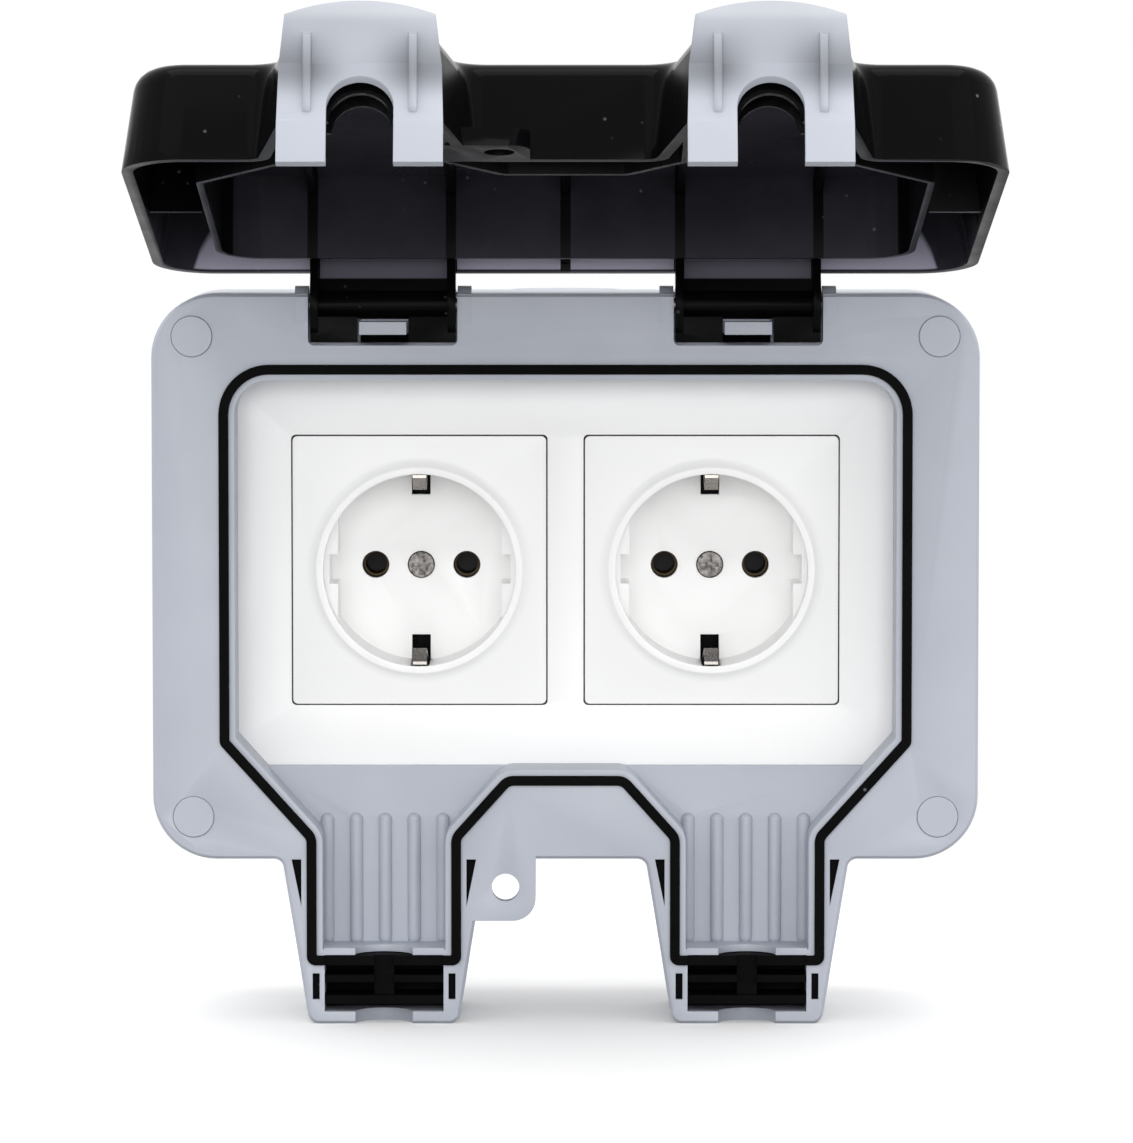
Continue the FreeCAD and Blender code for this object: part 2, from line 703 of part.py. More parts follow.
def make_insert(x):
    """Makes the white cover of one socket, with its ring, well, keys and holes."""
    face_y = plate_y - insert_rim
    panel = prism(rounded_rectangle(x - insert_width / 2, x + insert_width / 2,
                                    -insert_height / 2, insert_height / 2, insert_corner),
                  face_y, face_y + panel_thick)
    front = ring_front_y()
    outer = well_radius + cup_wall
    profile = [(0, front), (ring_crest - 0.5, front), (ring_crest, front + 0.35),
               (ring_crest + 0.4, face_y - 0.35), (ring_outer, face_y),
               (ring_outer, face_y + 0.5), (outer, face_y + 0.5),
               (outer, well_floor_y() + floor_wall), (0, well_floor_y() + floor_wall)]
    corners = [Vector(x + r, y, 0) for r, y in profile]
    cup = Part.Face(Part.makePolygon(corners + corners[:1]))
    cup = cup.revolve(Vector(x, 0, 0), Vector(0, 1, 0), 360)
    insert = panel.fuse(cup)
    well = rod_y(x, 0, well_radius, front - 1, well_floor_y())
    flats = well.cut(box(x - flat_x, x + flat_x, front - 2, 0, -30, 30))
    flats = flats.common(box(x - 30, x + 30, front + flat_drop, 0, -flat_half, flat_half))
    keys = box(x - key_x, x + key_x, front - 2, well_floor_y(), -key_half, key_half)
    insert = insert.cut(well.cut(flats.cut(keys)))
    for z in (-1, 1):
        z0 = z * (well_radius - earth_slot_radial)
        for z1, y0 in ((z * (clip_root + 1), front + clip_slot_front),
                       (z * (outer + 2), front + clip_slot_step)):
            insert = insert.cut(box(x - earth_slot_half, x + earth_slot_half, y0,
                                    well_floor_y() + floor_wall + 1, min(z0, z1), max(z0, z1)))
    for way in (-1, 1):
        insert = insert.cut(rod_y(x + way * pin_spacing / 2, 0, pin_hole_radius, front,
                                  well_floor_y() + floor_wall + 1))
        for z in (-1, 1):
            foot_x = x + way * (insert_width / 2 - foot_size)
            foot_z = z * (insert_height / 2 - foot_size)
            insert = insert.fuse(box(foot_x - foot_size / 2, foot_x + foot_size / 2,
                                     face_y + panel_thick, yoke_front_y(),
                                     foot_z - foot_size / 2, foot_z + foot_size / 2))
    insert = insert.cut(rod_y(x, 0, centre_screw_radius + centre_screw_gap, front,
                              well_floor_y() + 1.2))
    insert = insert.cut(rod_y(x, 0, centre_screw_shank + 0.2, front, 0))
    return insert.removeSplitter()


def base_front_y():
    """Gives the front of the socket's mechanism base."""
    return well_floor_y() + floor_wall


def make_socket_base(x):
    """Makes the mechanism base that carries the contacts, with its terminal holes."""
    front = base_front_y()
    base = box(x - base_half_width, x + base_half_width, front, front + base_depth,
               -base_half_height, base_half_height)
    upright = [edge for edge in base.Edges
               if edge.BoundBox.XLength < 1e-6 and edge.BoundBox.ZLength < 1e-6]
    base = base.makeFillet(4.0, upright)
    channel = box(x - strap_half - channel_gap, x + strap_half + channel_gap, front - 1,
                  front + strap_drop + clip_thick, -base_half_height - 1, base_half_height + 1)
    base = base.cut(channel)
    for way in (-1, 1):
        base = base.cut(rod_y(x + way * pin_spacing / 2, 0, contact_radius + 0.1, front - 1,
                              front + contact_depth))
    for place_x, z, way in terminal_places(x):
        base = base.cut(Part.makeCylinder(terminal_radius + 0.08, 7, Vector(place_x,
                        front + base_depth * terminal_share, z + way), Vector(0, 0, -way)))
    return base.cut(rod_y(x, 0, centre_screw_shank + screw_fit, front - 1, front + 9))


def terminal_places(x):
    """Gives the x, the z and the outward way of a socket's terminal screws."""
    return [(x - terminal_x, -base_half_height, -1), (x + terminal_x, -base_half_height, -1),
            (x, base_half_height, 1)]


def make_terminal_screws(x):
    """Makes the three terminal screws of one socket."""
    screws = []
    for place_x, z, way in terminal_places(x):
        y = base_front_y() + base_depth * terminal_share
        shank = Part.makeCylinder(terminal_radius, 5, Vector(place_x, y, z), Vector(0, 0, -way))
        head = Part.makeCylinder(terminal_radius + 1.1, 1.6, Vector(place_x, y, z),
                                 Vector(0, 0, way))
        slot = box(place_x - 4, place_x + 4, y - 0.4, y + 0.4,
                   min(z + way * 0.8, z + way * 3), max(z + way * 0.8, z + way * 3))
        screws.append(shank.fuse(head).cut(slot))
    return Part.makeCompound(screws)


def make_contact(x):
    """Makes one slit brass sleeve that takes a plug's pin."""
    front = base_front_y() + contact_drop
    sleeve = ring_y(x, 0, contact_radius - contact_wall, contact_radius, front,
                    base_front_y() + contact_depth)
    return sleeve.cut(box(x - 0.35, x + 0.35, front - 1, front + contact_depth * 0.7, 0, 5))


def make_earth_strap(x):
    """Makes the nickel strap whose two sprung ends are the earth contacts."""
    front = base_front_y() + strap_drop
    seat = front + clip_thick
    reach = clip_root
    strap = box(x - strap_half, x + strap_half, front, seat, -reach, reach)
    strap = strap.cut(rod_y(x, 0, centre_screw_shank + screw_gap, front - 1, seat + 1))
    tip = ring_front_y() + clip_front
    bend = ring_front_y() + clip_bend
    lean = clip_radius + clip_lean
    for way in (-1, 1):
        outer = [(seat, reach), (well_floor_y(), reach), (bend, clip_radius + clip_thick),
                 (tip, lean + clip_thick)]
        inner = [(tip, lean), (bend, clip_radius), (well_floor_y(), reach - clip_thick),
                 (front, reach - clip_thick)]
        points = [(y, way * z) for y, z in outer + inner]
        strap = strap.fuse(plate_yz(points, x - clip_half, x + clip_half))
    return strap.removeSplitter()


def make_centre_screw(x):
    """Makes the cross slot screw in the middle of a socket's floor."""
    head_y = well_floor_y() - 0.4
    head = rod_y(x, 0, centre_screw_radius, head_y, well_floor_y() + 1.2)
    shank = rod_y(x, 0, centre_screw_shank, well_floor_y() + 1.2, base_front_y() + 8)
    for across, along in ((cross_half, cross_reach), (cross_reach, cross_half)):
        head = head.cut(box(x - across, x + across, head_y - 1, head_y + cross_depth,
                            -along, along))
    return head.fuse(shank)


def make_yoke():
    """Makes the steel yoke that carries the sockets on the box's pillars."""
    y0, y1 = yoke_front_y(), yoke_back_y()
    yoke = prism(rounded_rectangle(-yoke_half_width, yoke_half_width, -yoke_half_height,
                                   yoke_half_height, 3.0), y0, y1)
    for side in SIDES:
        x = SIDES[side] * socket_spacing / 2
        window = rounded_rectangle(x - yoke_window_half, x + yoke_window_half,
                                   -yoke_window_half, yoke_window_half, yoke_window_corner)
        yoke = yoke.cut(prism(window, y0 - 1, y1 + 1))
    for x in (-yoke_screw_x, yoke_screw_x):
        yoke = yoke.cut(rod_y(x, 0, yoke_screw_radius + 0.3, y0 - 1, y1 + 1))
    return yoke


def make_yoke_screws():
    """Makes the two screws that hold the yoke to the box."""
    screws = []
    for x in (-yoke_screw_x, yoke_screw_x):
        top = yoke_front_y() - yoke_head_height
        head = rod_y(x, 0, yoke_head_radius, top, yoke_front_y())
        shank = rod_y(x, 0, yoke_screw_radius, yoke_front_y(), yoke_back_y() + yoke_screw_grip)
        reach = yoke_head_radius + slot_half
        slot = box(x - reach, x + reach, top - slot_half, top + yoke_head_slot, -slot_half,
                   slot_half)
        screws.append(head.fuse(shank).cut(slot))
    return Part.makeCompound(screws)


# Lid, built closed and then swung open
def opened(shape):
    """Swings a shape from the lid's closed position to its open one."""
    swung = shape.copy()
    swung.rotate(Vector(0, axis_y, axis_z), Vector(1, 0, 0), -lid_open_angle)
    return swung


def lid_loft(inset, y0, y1, edge_radius=0.0):
    """Makes a drafted block with the lid's outline, from the rim at y0 to the front at y1."""
    slope = math.tan(math.radians(lid_draft))
    sections = [(y0, 0.0)]
    steps = lid_edge_steps if edge_radius else 0
    for i in range(steps + 1):
        turn = math.radians(90 * i / steps) if steps else 0.0
        sections.append((y1 + edge_radius * (1 - math.sin(turn)),
                         edge_radius * (1 - math.cos(turn))))
    wires = []
    for y, rounding in sections:
        corners = inset_corners(body_outline(), lid_inset + inset + rounding
                                + slope * (front_y - y))
        wires.append(outline_wire(corners, y))
    return Part.makeLoft(wires, True, True)


def make_lid():
    """Makes the lid as one moulding, in its open position."""
    rim_y = front_y - lid_gap
    top_y = front_y - lid_depth
    shell = lid_loft(0, rim_y, top_y, lid_edge_radius)
    inner_y = top_y + lid_front_wall
    shell = shell.cut(lid_loft(lid_wall, rim_y + 1, inner_y, lid_edge_radius - lid_wall))
    inside = lid_loft(0.5, rim_y, top_y + 0.5, lid_edge_radius - 0.5)
    rib_inset = (gasket_width - rib_thick) / 2
    rib_y = front_y - gasket_proud - seal_rib_gap
    rib = prism(gasket_outline(), inner_y - 0.2, rib_y, rib_inset)
    rib = rib.cut(prism(gasket_outline(), inner_y - 1, rib_y + 1, rib_inset + rib_thick))
    pieces = [rib]
    low = inner_y - 0.2
    high = inner_y + stiffener_height
    rib_places = [(0.0, rib_thick, gasket_middle)]
    for side in SIDES:
        x = SIDES[side] * leg_centre
        for way in (-1, 1):
            rib_places.append((x + way * (notch_half - arm_gap - arm_wall / 2), arm_wall,
                               gasket_leg_bottom + stiffener_end))
        web_x, edge_x = sorted((SIDES[side] * (gasket_half_width + 0.5),
                                SIDES[side] * (half_width - 2)))
        pieces.append(box(web_x, edge_x, low, rim_y - side_web_drop, -rib_thick / 2,
                          rib_thick / 2))
    for x, thick, end in rib_places:
        pieces.append(box(x - thick / 2, x + thick / 2, low, high, end, axis_z))
        pieces.append(box(x - thick / 2, x + thick / 2, low, rim_y - wall_rib_gap,
                          frame_top - lid_wall - wall_rib_height, frame_top))
    shell = shell.multiFuse([piece.common(inside) for piece in pieces])
    shell = shell.fuse(lid_tab())
    for side in SIDES:
        shell = shell.fuse(hinge_arm(side))
    for side in SIDES:
        shell = latch_seat(shell, side)
    return opened(shell).removeSplitter()


def lid_tab():
    """Makes the lid's padlock tab, over the frame's one when the lid is closed."""
    left = -leg_centre + leg_half_end - 1
    corners = [(left, frame_bottom + 3, 0.3), (tab_end_x, frame_bottom + 3, 0.3),
               (tab_end_x, tab_bottom, tab_corner_radius), (left, tab_bottom, 0.3)]
    tab = prism(corners, front_y - lid_gap - lid_tab_thick, front_y - lid_gap, lid_inset)
    return tab.cut(rod_y(tab_hole_x, tab_hole_z, tab_hole_radius, front_y - 9, front_y))


def hinge_arm(side):
    """Makes one hinge arm of the lid, closed, with its bore for the pin."""
    x = SIDES[side] * leg_centre
    half = notch_half - arm_gap
    reach = notch_radius()
    arm = rod_x(axis_y, axis_z, barrel_radius, x - half, x + half)
    top = frame_top - lid_inset
    for way in (-1, 1):
        x0, x1 = sorted((x + way * half, x + way * (half - arm_wall)))
        cheek = rod_x(axis_y, axis_z, reach, x0, x1)
        run_y = front_y - lid_gap - arm_run
        run_top = top - arm_run * math.tan(math.radians(lid_draft))
        run = plate_yz([(axis_y, top), (front_y - lid_gap, top), (run_y, run_top),
                        (run_y, axis_z - 3), (axis_y, axis_z - reach)], x0, x1)
        cheek = cheek.fuse(run).common(box(x0, x1, -100, axis_y + reach, axis_z - reach - 1, top))
        arm = arm.fuse(cheek)
    arm = arm.fuse(box(x - half, x + half, front_y - lid_gap - 2, axis_y,
                       axis_z - arm_panel, axis_z))
    beside = detent_half + arm_gap
    for way in (-1, 1):
        x0, x1 = sorted((x + way * beside, x + way * half))
        foot = box(x0, x1, axis_y - foot_forward, axis_y - foot_forward + arm_wall,
                   axis_z - foot_drop, axis_z - ledge_drop)
        ledge = box(x0, x1, axis_y - foot_forward, axis_y, axis_z - ledge_drop - 1,
                    axis_z - ledge_drop)
        open_part = foot.fuse(ledge)
        open_part.rotate(Vector(0, axis_y, axis_z), Vector(1, 0, 0), lid_open_angle)
        arm = arm.fuse(open_part)
    return arm.cut(rod_x(axis_y, axis_z, hinge_pin_radius + hinge_pin_fit, x - 20, x + 20))


def notch_radius():
    """Gives the largest radius of the hinge arm that turns freely in its notch."""
    return axis_z - notch_floor_z - 2 * arm_gap


def latch_seat(shell, side):
    """Cuts the cable notch and the latch's pocket in a leg of the lid, with its pin holes."""
    x = SIDES[side] * leg_centre
    pin_y = front_y - latch_pin_forward
    inside = latch_knuckle_half + latch_cheek_gap
    cheeks = box(x - leg_half_end, x + leg_half_end, front_y - lid_depth + 1, pin_y + 5,
                 latch_pin_z - 2.0, latch_pin_z + 6)
    cheeks = cheeks.common(lid_loft(0.3, front_y - lid_gap, front_y - lid_depth + 0.5))
    shell = shell.fuse(cheeks)
    pocket = box(x - inside, x + inside, front_y - lid_depth - 5, pin_y + 3.6,
                 leg_bottom - 5, latch_pin_z + 3.6)
    shell = shell.cut(pocket)
    shell = shell.cut(rod_x(pin_y, latch_pin_z, latch_pin_radius + 0.05, x - latch_pin_half,
                            x + latch_pin_half))
    return shell.cut(rod_like_notch(x, leg_bottom - 2, gasket_leg_bottom + 5))


# Latches, built hooked and then let off to their rest angle
def latch_place(side, shape):
    """Turns a latch from its hooked position to rest, then swings it open with the lid."""
    pin = Vector(0, front_y - latch_pin_forward, latch_pin_z)
    moved = shape.copy()
    moved.rotate(pin, Vector(1, 0, 0), -latch_rest_angle)
    return opened(moved)


def make_latch(side):
    """Makes one latch with its two prongs, finger tab, knuckle and ribs."""
    x = SIDES[side] * leg_centre
    pin_y = front_y - latch_pin_forward
    inner_z = leg_bottom - latch_gap
    outer_z = inner_z - latch_thick
    hook_y = front_y + latch_reach
    tab_y = front_y - latch_tab_forward
    knee_y = front_y + latch_knee
    crease_y = front_y - latch_crease
    flared = outer_z - latch_flare
    profile = [(hook_y, outer_z), (knee_y, outer_z), (knee_y, outer_z + 0.25),
               (crease_y, outer_z + latch_hollow), (tab_y, flared),
               (tab_y, flared + latch_thick), (crease_y, inner_z + latch_hollow - 0.3),
               (front_y - 1.0, inner_z), (hook_y - hook_length, inner_z),
               (hook_y - hook_length, inner_z + hook_height),
               (hook_y, inner_z + hook_height * 0.7)]
    latch = plate_yz(profile, x - latch_half_end, x + latch_half_end)
    row = [(latch_half_end, hook_y + 1), (latch_half_end, knee_y),
           (latch_half_crease, crease_y), (latch_half_top, tab_y + latch_crown)]
    arch = [(x + px, py) for px, py in row] + [(x - px, py) for px, py in row[::-1]]
    corners = [Vector(px, py, -120) for px, py in arch]
    crest = Part.Arc(corners[3], Vector(x, tab_y, -120), corners[4]).toShape()
    edges = [Part.makeLine(corners[i], corners[(i + 1) % 8]) for i in range(8) if i != 3]
    outline = Part.Wire(edges[:3] + [crest] + edges[3:])
    latch = latch.common(Part.Face(outline).extrude(Vector(0, 0, 60)))
    latch = latch.cut(latch_notch(x))
    knuckle = rod_x(pin_y, latch_pin_z, latch_knuckle_radius, x - latch_knuckle_half,
                    x + latch_knuckle_half)
    neck = box(x - latch_knuckle_half, x + latch_knuckle_half, pin_y - 1.6, pin_y + 1.6,
               inner_z - latch_neck_sink, latch_pin_z)
    latch = latch.fuse(knuckle).fuse(neck)
    for way in (-1, 1):
        rib_x = x + way * latch_rib_x
        share = (latch_rib_high - latch_crease) / (latch_tab_forward - latch_crease)
        tab_z = outer_z + latch_hollow - share * (latch_hollow + latch_flare)
        rib = plate_yz([(front_y - latch_rib_low, outer_z + 0.3),
                        (front_y - latch_rib_low - 1, outer_z - latch_rib_proud / 2),
                        (front_y - latch_rib_high + 1, tab_z - latch_rib_proud),
                        (front_y - latch_rib_high, tab_z + 0.1),
                        (crease_y, outer_z + latch_hollow + 0.4)],
                       rib_x - latch_rib_thick / 2, rib_x + latch_rib_thick / 2)
        latch = latch.fuse(rib)
    bore = rod_x(pin_y, latch_pin_z, latch_pin_radius + 0.05, x - 30, x + 30)
    return latch_place(side, latch.cut(bore).removeSplitter())


def latch_notch(x):
    """Makes the leaning U-shaped cutter for the cable notch of a latch."""
    middle_y = front_y - latch_notch_top + latch_notch_half
    end_y = front_y + latch_reach + 20
    above = 3.0
    z = leg_bottom - latch_gap + above
    shift = Vector(0, above * latch_notch_lean, 0)
    left, right = x - latch_notch_half, x + latch_notch_half
    start = Vector(left, middle_y, z) + shift
    crown = Vector(x, middle_y - latch_notch_half, z) + shift
    end = Vector(right, middle_y, z) + shift
    edges = [Part.Arc(start, crown, end).toShape(),
             Part.makeLine(end, Vector(right, end_y, z)),
             Part.makeLine(Vector(right, end_y, z), Vector(left, end_y, z)),
             Part.makeLine(Vector(left, end_y, z), start)]
    drop = above + 10
    lean = Vector(0, -drop * latch_notch_lean, -drop)
    return Part.Face(Part.Wire(edges)).extrude(lean)


def make_latch_pin(side):
    """Makes the steel pin that a latch turns on."""
    x = SIDES[side] * leg_centre
    pin = rod_x(front_y - latch_pin_forward, latch_pin_z, latch_pin_radius,
                x - latch_pin_half, x + latch_pin_half)
    return opened(pin)


def make_hinge_pin(side):
    """Makes one steel hinge pin, held in the frame's bosses."""
    x = SIDES[side] * leg_centre
    half = notch_half + boss_width - 0.3
    return rod_x(axis_y, axis_z, hinge_pin_radius, x - half, x + half)


def make_parts():
    """Makes every piece and gives it under its node's name."""
    parts = {
        "back_box": make_back_box(),
        "box_seal": make_box_seal(),
        "front_frame": make_front_frame(),
        "gasket": make_gasket(),
        "face_plate": make_face_plate(),
        "yoke": make_yoke(),
        "yoke_screws": make_yoke_screws(),
        "lid": make_lid(),
    }
    for place, (x, z) in screw_places().items():
        parts["screw_cap_" + place] = make_cap(x, z)
        parts["frame_screw_" + place] = make_frame_screw(x, z)
    for side, way in SIDES.items():
        x = way * socket_spacing / 2
        parts["hinge_pin_" + side] = make_hinge_pin(side)
        parts["latch_" + side] = make_latch(side)
        parts["latch_pin_" + side] = make_latch_pin(side)
        parts["socket_cover_" + side] = make_insert(x)
        parts["socket_base_" + side] = make_socket_base(x)
        parts["earth_strap_" + side] = make_earth_strap(x)
        parts["centre_screw_" + side] = make_centre_screw(x)
        parts["terminal_screws_" + side] = make_terminal_screws(x)
        for letter, hand in (("a", -1), ("b", 1)):
            parts["pin_contact_" + side + "_" + letter] = make_contact(
                x + hand * pin_spacing / 2)
    return parts


os.makedirs("parts", exist_ok=True)
for name, shape in make_parts().items():
    print(name, shape.isValid(), len(shape.Solids), round(shape.Volume, 1))
    shape.exportStep("parts/" + name + ".step")
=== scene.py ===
"""Dresses the outdoor double socket: finishes, softened edges, small details, light and camera."""
import json
import logging
import math
from dataclasses import dataclass, field
from enum import Enum

import bmesh
import bpy
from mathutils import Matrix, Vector
from mathutils.bvhtree import BVHTree


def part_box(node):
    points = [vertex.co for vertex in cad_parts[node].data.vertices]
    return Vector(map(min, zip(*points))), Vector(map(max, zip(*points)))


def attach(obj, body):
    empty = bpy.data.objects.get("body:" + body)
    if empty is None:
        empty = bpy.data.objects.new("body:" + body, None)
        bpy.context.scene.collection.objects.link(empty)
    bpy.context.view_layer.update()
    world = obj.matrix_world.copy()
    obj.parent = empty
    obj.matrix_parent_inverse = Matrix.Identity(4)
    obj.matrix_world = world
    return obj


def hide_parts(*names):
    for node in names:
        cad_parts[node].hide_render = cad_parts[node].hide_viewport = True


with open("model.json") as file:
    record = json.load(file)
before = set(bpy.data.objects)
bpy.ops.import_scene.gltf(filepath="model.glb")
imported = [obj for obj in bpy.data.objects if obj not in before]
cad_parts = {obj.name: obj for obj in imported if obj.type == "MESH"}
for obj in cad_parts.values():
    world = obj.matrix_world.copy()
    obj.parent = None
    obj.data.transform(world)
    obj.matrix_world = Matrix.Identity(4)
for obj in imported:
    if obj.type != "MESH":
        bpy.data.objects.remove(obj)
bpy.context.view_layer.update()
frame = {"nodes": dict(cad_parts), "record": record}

MM = 0.001
log = logging.getLogger("socket")

# The frame's front plane, the lid's hinge axis, the middle of each leg, half a hinge arm
# and the object's two sides.
FRONT_Y = -58.0 * MM
HINGE_Y = -51.8 * MM
HINGE_Z = 55.0 * MM
LEG_CENTRE = 37.2 * MM
ARM_HALF = 14.0 * MM
HANDS = (("left", -1), ("right", 1))

# The lid stands open by this angle. Depths and heights on it are those of the closed lid,
# from the front plane and from the sockets' axis.
LID_OPEN = math.radians(102.2)
LID_DEPTH = Vector((0.0, -math.cos(LID_OPEN), math.sin(LID_OPEN)))
LID_HEIGHT = Vector((0.0, math.sin(LID_OPEN), math.cos(LID_OPEN)))
HINGE_AXIS = Vector((0.0, HINGE_Y, HINGE_Z))

# Octaves of a fine grain, of a drift of the colour and of a surface's sheen.
GRAIN_OCTAVES = 2.0
DRIFT_OCTAVES = 3.0
SHEEN_OCTAVES = 4.0

# The values of a noise between which most of its change lies.
NOISE_SPAN = (0.3, 0.7)

Colour = tuple[float, float, float]
Socket = bpy.types.NodeSocket
Feed = bpy.types.NodeSocket | float | tuple[float, ...] | Vector


class Gloss(Enum):
    """Names how shiny a moulded surface is, by its roughness."""

    SATIN = 0.42
    SOFT = 0.34
    RUBBER = 0.62


def grey(value: float) -> Colour:
    """Gives a grey of one value."""
    return (value, value, value)


def scaled(colour: Colour, factor: float) -> Colour:
    """Gives a colour made paler or darker by a factor, up to white."""
    return tuple(min(part * factor, 1.0) for part in colour)


class Graph:
    """The nodes of a material or of the world, with short ways to add to them."""

    def __init__(self, tree: bpy.types.NodeTree) -> None:
        """Takes hold of a tree's nodes and links."""
        self.nodes = tree.nodes
        self.links = tree.links

    def add(self, kind: str, **settings: str) -> bpy.types.Node:
        """Adds a node.

        Args:
            kind: the node's type, without the word before it that all of them share.
            settings: the node's own settings, such as its operation.

        Returns:
            The node.
        """
        node = self.nodes.new("ShaderNode" + kind)
        for name, value in settings.items():
            setattr(node, name, value)
        return node

    def feed(self, socket: Socket, value: Feed) -> None:
        """Sets an input, or links another node's output to it.

        Args:
            socket: the input.
            value: a number, a colour, a vector or an output.
        """
        if isinstance(value, bpy.types.NodeSocket):
            self.links.new(value, socket)
        elif socket.type == "RGBA":
            socket.default_value = (*value, 1)
        else:
            socket.default_value = value

    def calculate(self, operation: str, *values: Feed) -> Socket:
        """Works out a value from others.

        Args:
            operation: the name of the operation.
            values: numbers or outputs, in the operation's order.

        Returns:
            The result.
        """
        node = self.add("Math", operation=operation)
        for socket, value in zip(node.inputs, values):
            self.feed(socket, value)
        return node.outputs["Value"]

    def product(self, first: Socket, *others: Feed) -> Socket:
        """Multiplies two or more values.

        Args:
            first: the first value.
            others: the other values.

        Returns:
            Their product.
        """
        for value in others:
            first = self.calculate("MULTIPLY", first, value)
        return first

    def place(self) -> Socket:
        """Gives a point's place in the object's own coordinates."""
        return self.add("TexCoord").outputs["Object"]

    def along(self, axis: str) -> Socket:
        """Gives a point's place along X, Y or Z."""
        split = self.add("SeparateXYZ")
        self.feed(split.inputs["Vector"], self.place())
        return split.outputs[axis]

    def noise(self, scale: float, detail: float, place: Socket | None = None) -> Socket:
        """Adds a noise.

        Args:
            scale: the noise's cells in a metre.
            detail: how many octaves it has.
            place: the coordinates, if not the object's own.

        Returns:
            The noise's value.
        """
        texture = self.add("TexNoise")
        self.feed(texture.inputs["Scale"], scale)
        self.feed(texture.inputs["Detail"], detail)
        self.feed(texture.inputs["Vector"], self.place() if place is None else place)
        return texture.outputs["Fac"]

    def ramp(self, value: Socket, span: tuple[float, float], low: Colour, high: Colour) -> Socket:
        """Turns a value into a colour between two others.

        Args:
            value: what drives the colour.
            span: where the low colour ends and where the high one begins.
            low: the low colour.
            high: the high colour.

        Returns:
            The colour.
        """
        node = self.add("ValToRGB")
        for end, position, colour in zip(node.color_ramp.elements, span, (low, high)):
            end.position = position
            end.color = (*colour, 1)
        self.feed(node.inputs["Fac"], value)
        return node.outputs["Color"]

    def step(self, value: Socket, start: float, end: float, kind: str = "SMOOTHSTEP") -> Socket:
        """Steps from 0 at one place to 1 at another, which may be the lower one.

        Args:
            value: the place that is measured.
            start: where the step is 0.
            end: where the step is 1.
            kind: the step's form, smooth or linear.

        Returns:
            The step's value.
        """
        node = self.add("MapRange", interpolation_type=kind)
        ends = {"From Min": min(start, end), "From Max": max(start, end),
                "To Min": float(start > end), "To Max": float(start < end)}
        for name, number in ends.items():
            self.feed(node.inputs[name], number)
        self.feed(node.inputs["Value"], value)
        return node.outputs["Result"]

    def blend(self, share: Socket, low: Feed, high: Feed) -> Socket:
        """Mixes two colours by a share.

        Args:
            share: the share of the high colour.
            low: the colour at 0.
            high: the colour at 1.

        Returns:
            The mixed colour.
        """
        mix = self.add("Mix", data_type="RGBA")
        self.feed(mix.inputs["Factor"], share)
        self.feed(mix.inputs["A"], low)
        self.feed(mix.inputs["B"], high)
        return mix.outputs["Result"]

    def bump(self, shader: bpy.types.Node, height: Socket, strength: float,
             depth: float) -> None:
        """Gives a shader a bump.

        Args:
            shader: the shader that takes the bump.
            height: the bump's height.
            strength: the bump's strength.
            depth: the bump's depth in metres.
        """
        bump = self.add("Bump")
        self.feed(bump.inputs["Strength"], strength)
        self.feed(bump.inputs["Distance"], depth)
        self.feed(bump.inputs["Height"], height)
        self.feed(shader.inputs["Normal"], bump.outputs["Normal"])

    def mix_shaders(self, share: Socket, low: bpy.types.Node,
                    high: bpy.types.Node) -> bpy.types.Node:
        """Mixes two shaders by a share.

        Args:
            share: the share of the high shader.
            low: the shader at 0.
            high: the shader at 1.

        Returns:
            The mixing node.
        """
        mix = self.add("MixShader")
        for socket, value in zip(mix.inputs, (share, low.outputs[0], high.outputs[0])):
            self.feed(socket, value)
        return mix

    def looked_at(self) -> Socket:
        """Tells the rays that show a surface, seen or mirrored, from those that only light.

        Returns:
            A value of 1 for a camera, glossy or transmission ray.
        """
        path = self.add("LightPath")
        shows = path.outputs["Is Camera Ray"]
        for kind in ("Is Glossy Ray", "Is Transmission Ray"):
            shows = self.calculate("MAXIMUM", shows, path.outputs[kind])
        return shows


def new_material(name: str) -> tuple[bpy.types.Material, Graph, bpy.types.Node]:
    """Starts a material.

    Args:
        name: the material's name.

    Returns:
        The material, its graph and its shader.
    """
    material = bpy.data.materials.new(name)
    material.use_nodes = True
    return material, Graph(material.node_tree), material.node_tree.nodes["Principled BSDF"]


@dataclass(frozen=True)
class Dust:
    """Small pale specks that lie on a dark surface in patches.

    Args:
        amount: how pale the specks are, from 0 to 1.
        cells: how many specks there could be in a metre.
        size: radius of a speck, as a share of its cell, where it is full and where it ends.
        patches: how many patches there are in a metre.
        cover: values of the patches' noise between which the dust begins.
        colour: the dust's own colour.
    """

    amount: float
    cells: float = 260.0
    size: tuple[float, float] = (0.05, 0.11)
    patches: float = 60.0
    cover: tuple[float, float] = (0.56, 0.7)
    colour: Colour = (0.5, 0.5, 0.5)

    def over(self, graph: Graph, colour: Feed) -> Socket:
        """Scatters the dust over a colour.

        Args:
            graph: the material's graph.
            colour: the colour under the dust.

        Returns:
            The dusted colour.
        """
        cells = graph.add("TexVoronoi")
        graph.feed(cells.inputs["Scale"], self.cells)
        graph.feed(cells.inputs["Randomness"], 1.0)
        graph.feed(cells.inputs["Vector"], graph.place())
        specks = graph.ramp(cells.outputs["Distance"], self.size, grey(1.0), grey(0.0))
        patches = graph.ramp(graph.noise(self.patches, DRIFT_OCTAVES), self.cover,
                             grey(0.0), grey(self.amount))
        return graph.blend(graph.product(specks, patches), colour, self.colour)


